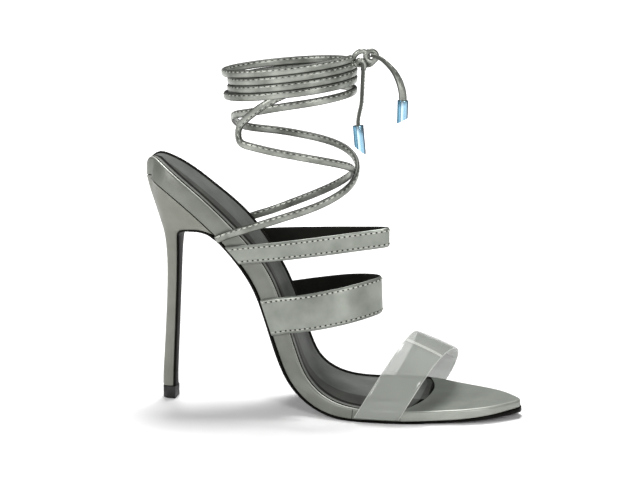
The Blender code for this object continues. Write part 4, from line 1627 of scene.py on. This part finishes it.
@dataclass
class Ring:
    """The turns round the ankle, and the places that the laces are measured from."""

    x: float = 0.0647
    length: float = 0.0662
    width: float = 0.0510
    lift: float = 0.0384
    pitch: float = 0.00393
    slope: float = 0.113
    turns: int = 3
    anchor_x: float = 0.0375
    left_turns: tuple[float, ...] = (0.0, 0.4, 0.75, 1.25, 1.75, 2.25, 2.75, 3.2)
    left_shift: tuple[float, ...] = (0.0, 0.0, 0.0020, 0.0020, 0.0022, 0.0010, -0.0010, -0.0010)
    knot_turn: float = 0.25
    beside: float = 0.0036
    last_degrees: float = 79.0
    step_degrees: float = 13.0
    turn_out: float = 0.25

    def height(self) -> float:
        """Gives the height of the lowest full turn, at its middle on the outer side."""
        return LAST.rim_at_ball + LAST.seat_rise + self.lift

    def anchor(self) -> float:
        """Gives the height at which the laces leave the sole."""
        s = LAST.at_x(self.anchor_x)
        return float(LAST.rim(s)[1] - LAST.up(s)[1] * LAST.board(s))

    def front(self) -> np.ndarray:
        """Gives the ring's front at its top turn, where the knot sits."""
        z = self.height() + self.pitch * (self.turns + self.knot_turn) + self.slope * self.length / 2.0
        return np.array([self.x + self.length / 2.0, 0.0, z])

    def route(self, rows: Table, room: float) -> np.ndarray:
        """Turns a lace's table into points, kept clear of the footbed's side.

        Args:
            rows: The lace's table.
            room: Half the lace's thickness.

        Returns:
            The points.
        """
        low = self.anchor()
        points = []
        for along, aside, rise in rows:
            x = self.x + along * self.length / 2.0
            y = aside * self.width / 2.0
            z = low + rise * (self.height() - low)
            station, depth = LAST.station_of(x, z)
            if depth > -self.beside:
                side = OUTER if y < 0.0 else INNER
                y = side * max(abs(y), float(LAST.half(station, side)) + LAST.gap + room)
            points.append((x, y, z))
        return np.array(points)

    def coil(self) -> np.ndarray:
        """Gives the turns round the ankle, up to the knot.

        Returns:
            The points.
        """
        degrees = np.arange(0.0, self.turns * 360.0 + self.last_degrees, self.step_degrees)
        turn = np.radians(degrees)
        x = np.sin(turn) * self.length / 2.0
        y = -np.cos(turn) * self.width / 2.0
        z = self.height() + self.pitch * degrees / 360.0 + self.slope * x
        shift = np.interp(degrees / 360.0, self.left_turns, self.left_shift)
        x = x + shift * np.clip(-np.sin(turn), 0.0, 1.0)
        return np.stack([x + self.x, y, z], axis=1)

    def outward(self, path: np.ndarray) -> np.ndarray:
        """Gives the direction away from the leg along a path.

        Args:
            path: The lace's middle line.

        Returns:
            The unit directions.
        """
        run = unit(np.gradient(path, axis=0))
        out = unit((path - [self.x, 0.0, 0.0]) * [1.0 / self.length**2, 1.0 / self.width**2, 0.0])
        low = self.anchor()
        share = np.clip((path[:, 2] - low) / (self.height() - low) / self.turn_out, 0.0, 1.0)[:, None]
        out = out * share + np.sign(path) * [0.0, 1.0, 0.0] * (1.0 - share)
        return unit(out - run * np.sum(out * run, axis=1, keepdims=True))


TAPE_SIDES = 24
# How far aside a face of the tape lies when it belongs to a turned edge, painted dark as shade
TAPE_SHADE_FROM = 0.85
TAPE_EDGE_SHADE_MARKS = tuple(
    int(abs(math.cos((i + 1.0) * 2.0 * math.pi / TAPE_SIDES)) > TAPE_SHADE_FROM) for i in range(TAPE_SIDES)
)


@dataclass
class Tape:
    """The folded flat lace: a tape with round edges and one row of stitches."""

    width: float = 0.0040
    thickness: float = 0.0025
    spacing: float = 0.0016
    stitch_place: float = 0.22
    width_power: float = 0.92
    depth_power: float = 0.85
    row: StitchRow = field(
        default_factory=lambda: StitchRow(
            pitch=0.0032, length=0.0013, radius=0.00024, hole=0.00058, lift=0.00003
        )
    )

    def rings(self, path: np.ndarray, out: np.ndarray) -> np.ndarray:
        """Gives the section's rings along a path.

        Args:
            path: The lace's middle line.
            out: The direction that its face looks to, at each point.

        Returns:
            Rings of points.
        """
        run = unit(np.gradient(path, axis=0))
        wide = unit(np.cross(run, out))
        out = np.cross(wide, run)
        turn = (np.arange(TAPE_SIDES) + 0.5) * 2.0 * math.pi / TAPE_SIDES
        across = np.sign(np.cos(turn)) * np.abs(np.cos(turn)) ** self.width_power * self.width / 2.0
        deep = np.sign(np.sin(turn)) * np.abs(np.sin(turn)) ** self.depth_power * self.thickness / 2.0
        return path[:, None] + across[None, :, None] * wide[:, None] + deep[None, :, None] * out[:, None]

    def finishes(self, palette: Palette) -> list[bpy.types.Material]:
        """Gives the tape's materials: its face, and its turned edges painted dark as shade."""
        return [palette.get("lace"), palette.get("lace_edge")]

    def stitches(self, path: np.ndarray, out: np.ndarray, place: float) -> Patch:
        """Lays the tape's stitches.

        Args:
            path: The lace's middle line.
            out: The direction that its face looks to, at each point.
            place: The row's distance from the middle, as a share of the width.

        Returns:
            What StitchRow.lay gives.
        """
        run = unit(np.gradient(path, axis=0))
        wide = unit(np.cross(run, out))
        bulge = math.sqrt(1.0 - 4.0 * place**2)
        line = path + wide * place * self.width + out * self.thickness * 0.5 * bulge
        return self.row.lay(line, out)


@dataclass
class AnkleLaces:
    """Both laces from the waist, crossed in front, wound round the ankle."""

    ring: Ring
    tape: Tape

    def build(self, palette: Palette) -> None:
        """Makes each lace with its stitches.

        Args:
            palette: The finishes.
        """
        room = self.tape.thickness / 2.0
        routes = {
            "outer": np.concatenate([self.ring.route(OUTER_LACE, room), self.ring.coil()]),
            "inner": self.ring.route(INNER_LACE, room),
        }
        rows = []
        for side, points in routes.items():
            path = smooth_path(points, int(chords(points)[-1] / self.tape.spacing))
            out = self.ring.outward(path)
            rings = self.tape.rings(path, out)
            piece = loft("lace_" + side, rings, self.tape.finishes(palette), TAPE_EDGE_SHADE_MARKS)
            seat(piece, Slot.LACE, "ankle_wrap")
            place = -self.tape.stitch_place if side == "outer" else self.tape.stitch_place
            rows.append(self.tape.stitches(path, out, place))
            rows.append(self.tape.stitches(path, -out, -place))
        seat(sew("lace_stitches", rows, palette), Slot.LACE)


# Knot arcs, in millimetres from the ring's front at its top turn
KNOT_ARCS: tuple[Table, ...] = (
    (
        (-4.0, -2.6, -3.4),
        (-1.2, -2.6, -3.2),
        (1.2, -1.8, -3.6),
        (3.0, 0.4, -4.2),
        (4.6, 1.6, -3.0),
        (6.4, 1.2, -0.6),
    ),
    (
        (-1.0, 0.6, -3.2),
        (-0.3, -0.4, -0.4),
        (1.6, -0.8, 2.0),
        (4.2, -0.6, 3.0),
        (6.2, 0.2, 1.8),
        (6.6, 1.0, -1.2),
    ),
    (
        (1.0, -0.6, -4.4),
        (1.9, -2.4, -2.2),
        (3.8, -3.2, -1.2),
        (5.4, -2.8, -2.8),
        (5.4, -2.6, -4.8),
        (4.8, -2.4, -6.6),
    ),
    (
        (3.4, 1.6, -3.4),
        (5.4, 1.8, -4.4),
        (7.6, 1.2, -4.0),
        (9.4, 0.4, -2.6),
        (10.8, 0.2, -0.4),
    ),
)


@dataclass
class Knot:
    """The lace's knot: crossed arcs on the left and a round loop on the right."""

    ring: Ring
    radius: float = 0.00135
    flatness: float = 0.9
    sides: int = 12
    arc_points: int = 22
    # How far aside a face of the knot's tubes lies when it is painted dark as shade
    dark_from: float = 0.8
    loop_centre: Place = (8.5, 0.2, 0.4)
    loop_radius: float = 2.7
    loop_points: int = 24
    loop_lean: float = 0.25

    def loop(self) -> np.ndarray:
        """Gives the round loop's middle line, in millimetres from the ring's front.

        Returns:
            The points, without the first one again at the end.
        """
        turn = np.linspace(0.0, 2.0 * math.pi, self.loop_points + 1)[:-1]
        round_line = np.stack([np.cos(turn), self.loop_lean * np.cos(turn), np.sin(turn)], axis=1)
        return round_line * self.loop_radius + np.array(self.loop_centre)

    def tube(self, path: np.ndarray, closed: bool) -> Patch:
        """Makes one tube of lace.

        Args:
            path: Its middle line.
            closed: Whether it is a loop.

        Returns:
            Points, faces, and each face's material number: 0 face, 1 turned edge painted dark as shade, or
            cut end.
        """
        if closed:
            run = unit(np.roll(path, -1, axis=0) - np.roll(path, 1, axis=0))
        else:
            run = unit(np.gradient(path, axis=0))
        aside = unit(np.cross(run, np.array([0.0, 1.0, 0.0])))
        deep = np.cross(run, aside)
        sides = self.sides
        turns = np.arange(sides) * 2.0 * math.pi / sides
        points = path[:, None] + aside[:, None] * np.cos(turns)[None, :, None] * self.radius
        points = points + deep[:, None] * np.sin(turns)[None, :, None] * self.radius * self.flatness
        half_turns = (np.arange(sides) + 0.5) * 2.0 * math.pi / sides
        edge_shade = [int(abs(math.cos(turn)) > self.dark_from) for turn in half_turns]
        rows = len(path)
        end = (rows - 1) * sides
        faces = ring_faces(rows, sides)
        if closed:
            for i in range(sides):
                j = (i + 1) % sides
                faces.append((end + i, end + j, j, i))
        else:
            faces.append(tuple(range(sides - 1, -1, -1)))
            faces.append(tuple(range(end, end + sides)))
        return points.reshape(-1, 3), faces, edge_shade * (rows - 1) + (edge_shade if closed else [1, 1])

    def build(self, palette: Palette) -> None:
        """Makes the knot from short tubes of lace.

        Args:
            palette: The finishes.
        """
        base = self.ring.front()
        arcs = [smooth_path(np.array(arc) * MILLIMETRE + base, self.arc_points) for arc in KNOT_ARCS]
        tubes = [self.tube(arc, closed=False) for arc in arcs]
        tubes.append(self.tube(self.loop() * MILLIMETRE + base, closed=True))
        points, faces, marks = join(tubes)
        finishes = [palette.get("lace"), palette.get("lace_edge")]
        seat(make_piece("lace_knot", points, faces, finishes, marks), Slot.LACE, "knot")


class Hand(Enum):
    """Which side of an aglet's foot is the longer."""

    RIGHT = 1.0
    LEFT = -1.0


# The aglet's rings, outside down and inside up: share of the tube's length or metres from its top,
# share of its radius, and whether the first number is a share
AGLET_RINGS: tuple[tuple[float, float, bool], ...] = (
    (0.0, 0.86, False),
    (0.0, 0.97, False),
    (0.0003, 1.0, False),
    (0.4, 1.0, True),
    (0.9, 1.0, True),
    (1.0, 0.98, True),
    (1.0, 0.82, True),
    (0.5, 0.80, True),
    (0.0006, 0.80, False),
)


@dataclass
class LaceEnd:
    """A hanging end of the lace with its metal aglet."""

    name: str
    rows: Table
    ring: Ring
    longer: Hand
    length: float
    slant: float
    bare: int
    face: tuple[Place, Place]
    tape: Tape = field(default_factory=lambda: Tape(width=0.0040, thickness=0.0021, spacing=0.0012))
    outer: float = 0.0028
    sides: int = 32
    flatness: float = 0.8
    stitched: float = 0.66
    stitch_place: float = 0.1

    def aglet(self, palette: Palette) -> bpy.types.Object:
        """Makes the metal tube: a rolled top, flattened sides and a slanting open foot.

        Args:
            palette: The finishes.

        Returns:
            The tube.
        """
        points = np.array(self.rows) * MILLIMETRE + self.ring.front()
        top = points[self.bare]
        aim = unit(points[-1] - points[self.bare])
        side = unit(np.array([1.0, 0.0, 0.0]) - aim * aim[0])
        deep = np.cross(aim, side)
        turns = np.arange(self.sides) * 2.0 * math.pi / self.sides
        rings = []
        for place, width, shared in AGLET_RINGS:
            ring = []
            for turn in turns:
                foot = self.length - self.slant * (0.5 - 0.5 * self.longer.value * math.cos(turn))
                along = place * foot if shared else place
                out = side * math.cos(turn) + deep * math.sin(turn) * self.flatness
                ring.append(top + aim * along + out * self.outer * width)
            rings.append(ring)
        count = len(rings)
        faces = ring_faces(count, self.sides)
        last = (count - 1) * self.sides
        for i in range(self.sides):
            j = (i + 1) % self.sides
            faces.append((last + i, last + j, j, i))
        points = np.array(rings).reshape(-1, 3)
        piece = make_piece("aglet_" + self.name + "_tube", points, faces, [palette.get("metal")])
        seat(piece, Slot.METAL, "aglet_" + self.name)
        return piece

    def build(self, palette: Palette) -> None:
        """Args:
            palette: The finishes.
        """
        points = np.array(self.rows) * MILLIMETRE + self.ring.front()
        count = int(chords(points)[-1] / self.tape.spacing)
        path = smooth_path(points, count)
        share = np.linspace(0.0, 1.0, count)[:, None]
        out = unit(np.array(self.face[0]) * (1.0 - share) + np.array(self.face[1]) * share)
        rings = self.tape.rings(path, out)
        cord = loft("lace_end_" + self.name + "_tape", rings, self.tape.finishes(palette), TAPE_EDGE_SHADE_MARKS)
        seat(cord, Slot.LACE, "lace_end_" + self.name)
        tube = self.aglet(palette)
        last = int(count * self.stitched)
        row = self.tape.stitches(path[:last], out[:last], self.stitch_place)
        stitches = sew("lace_end_" + self.name + "_stitches", [row], palette)
        seat(stitches, Slot.LACE)


# Camera and studio

@dataclass
class Studio:
    """The camera at the photograph's angle, a pale floor and soft light."""

    azimuth: float = 11.5
    elevation: float = 12.5
    distance: float = 1.504
    target: Place = (0.0893, 0.0, 0.0893)
    lens: float = 164.57
    sensor: float = 36.0
    shift: tuple[float, float] = (-0.0247, -0.0063)
    far_end: float = 50.0
    floor_tone: float = 0.92
    floor_half: float = 14.0
    glow_middle: Place = (0.09, 0.0, 0.0)
    glow_reach: tuple[float, float] = (0.16, 1.10)
    glow_power: tuple[float, float] = (0.03, 0.90)
    lit_middle: Place = (0.09, 0.0, 0.08)
    surround: float = 0.16

    def away(self) -> np.ndarray:
        """Gives the direction from the target to the camera."""
        a, e = math.radians(self.azimuth), math.radians(self.elevation)
        return np.array([math.sin(a) * math.cos(e), -math.cos(a) * math.cos(e), math.sin(e)])

    def camera(self) -> None:
        """Makes the camera."""
        data = bpy.data.cameras.new("camera")
        data.lens = self.lens
        data.sensor_width = self.sensor
        data.shift_x, data.shift_y = self.shift
        data.clip_end = self.far_end
        camera = bpy.data.objects.new("camera", data)
        bpy.context.scene.collection.objects.link(camera)
        camera.location = Vector(self.target) + Vector(self.away()) * self.distance
        camera.rotation_euler = Vector(self.away()).to_track_quat("Z", "Y").to_euler()
        bpy.context.scene.camera = camera

    def floor(self) -> None:
        """Makes the pale floor."""
        graph = Graph("white_floor")
        graph.shader.inputs["Base Color"].default_value = (*[self.floor_tone] * 3, 1.0)
        graph.shader.inputs["Roughness"].default_value = 0.9
        graph.shader.inputs["Specular IOR Level"].default_value = 0.0
        graph.shader.inputs["Emission Color"].default_value = (1.0, 1.0, 1.0, 1.0)
        middle = graph.node("VectorMath", operation="DISTANCE")
        graph.link(graph.place(), middle.inputs[0])
        middle.inputs[1].default_value = self.glow_middle
        near, far = self.glow_reach
        low, high = self.glow_power
        glow = graph.node("MapRange", From_Min=near, From_Max=far, To_Min=low, To_Max=high)
        graph.link(middle.outputs["Value"], glow.inputs["Value"])
        graph.link(glow.outputs["Result"], graph.shader.inputs["Emission Strength"])
        size = self.floor_half
        corners = [(-size, -size, 0.0), (size, -size, 0.0), (size, size, 0.0), (-size, size, 0.0)]
        mesh = bpy.data.meshes.new("floor")
        mesh.from_pydata(corners, [], [(0, 1, 2, 3)])
        mesh.materials.append(graph.material)
        floor = bpy.data.objects.new("floor", mesh)
        bpy.context.scene.collection.objects.link(floor)

    def light(self, name: str, place: Place, size: tuple[float, float], power: float) -> None:
        """Adds a rectangular soft light that looks at the sandal.

        Args:
            name: Its name.
            place: Where it stands.
            size: Width and height.
            power: Watts.
        """
        data = bpy.data.lights.new(name, "AREA")
        data.shape = "RECTANGLE"
        data.size, data.size_y = size
        data.energy = power
        lamp = bpy.data.objects.new(name, data)
        bpy.context.scene.collection.objects.link(lamp)
        lamp.location = place
        lamp.rotation_euler = (Vector(place) - Vector(self.lit_middle)).to_track_quat("Z", "Y").to_euler()

    def build(self) -> None:
        """Sets the camera, floor, lights and the white surroundings."""
        self.camera()
        self.floor()
        self.light("key", (-0.90, -1.20, 0.80), (0.4, 0.5), 13.0)
        self.light("side", (1.00, -1.30, 0.70), (0.3, 0.7), 12.0)
        self.light("top", (0.05, 0.40, 1.25), (0.5, 0.5), 19.0)
        world = bpy.data.worlds.new("white_room")
        world.use_nodes = True
        background = world.node_tree.nodes["Background"]
        background.inputs["Color"].default_value = (1.0, 1.0, 1.0, 1.0)
        background.inputs["Strength"].default_value = self.surround
        bpy.context.scene.world = world
        bpy.context.scene.view_settings.view_transform = "Standard"


def lace_ends(ring: Ring) -> tuple[LaceEnd, ...]:
    """Gives the two hanging ends.

    Args:
        ring: The turns round the ankle, whose knot they hang from.

    Returns:
        The front one and the one at the side.
    """
    front = LaceEnd(
        "front",
        FRONT_END,
        ring,
        longer=Hand.RIGHT,
        length=0.0148,
        slant=0.0046,
        bare=6,
        face=((1.0, 0.1, 0.0), (1.0, 0.3, 0.0)),
    )
    side = LaceEnd(
        "side",
        SIDE_END,
        ring,
        longer=Hand.LEFT,
        length=0.0120,
        slant=0.0030,
        bare=7,
        face=((0.5, 0.2, 1.0), (0.1, -1.0, 0.1)),
    )
    return front, side


def straps() -> tuple[Strap, ...]:
    """Gives the three straps, from the ankle to the toes.

    Returns:
        The straps.
    """
    upper = Strap(
        "upper_band",
        "strap_upper",
        edges=((0.288, 0.288), (0.323, 0.323)),
        reach=(0.0706, 0.0636),
        tilt=6.6,
        arch=UPPER_ARCH,
    )
    instep = Strap(
        "instep_band",
        "strap_instep",
        edges=((0.370, 0.370), (0.401, 0.401)),
        reach=(0.0508, 0.0452),
        tilt=11.0,
        arch=INSTEP_ARCH,
    )
    vamp = Strap(
        "vamp_band",
        "strap_vamp",
        edges=((0.599, 0.629), (0.717, 0.772)),
        reach=(0.0383, 0.0285),
        tilt=59.3,
        arch=VAMP_ARCH,
        thickness=0.0010,
        clear=True,
    )
    return upper, instep, vamp


def main() -> None:
    """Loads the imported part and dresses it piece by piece."""
    logging.basicConfig(level=logging.INFO, format="%(message)s")
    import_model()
    Studio().build()
    palette = Palette()
    ring = Ring()
    for end in lace_ends(ring):
        end.build(palette)
    AnkleLaces(ring, Tape()).build(palette)
    Knot(ring).build(palette)
    bed = Footbed()
    bed.build(palette)
    Sock().build(palette, bed)
    heel = Heel()
    heel.build(palette)
    Outsole().build(palette, heel)
    for strap in straps():
        strap.build(palette)


if __name__ == "__main__":
    main()
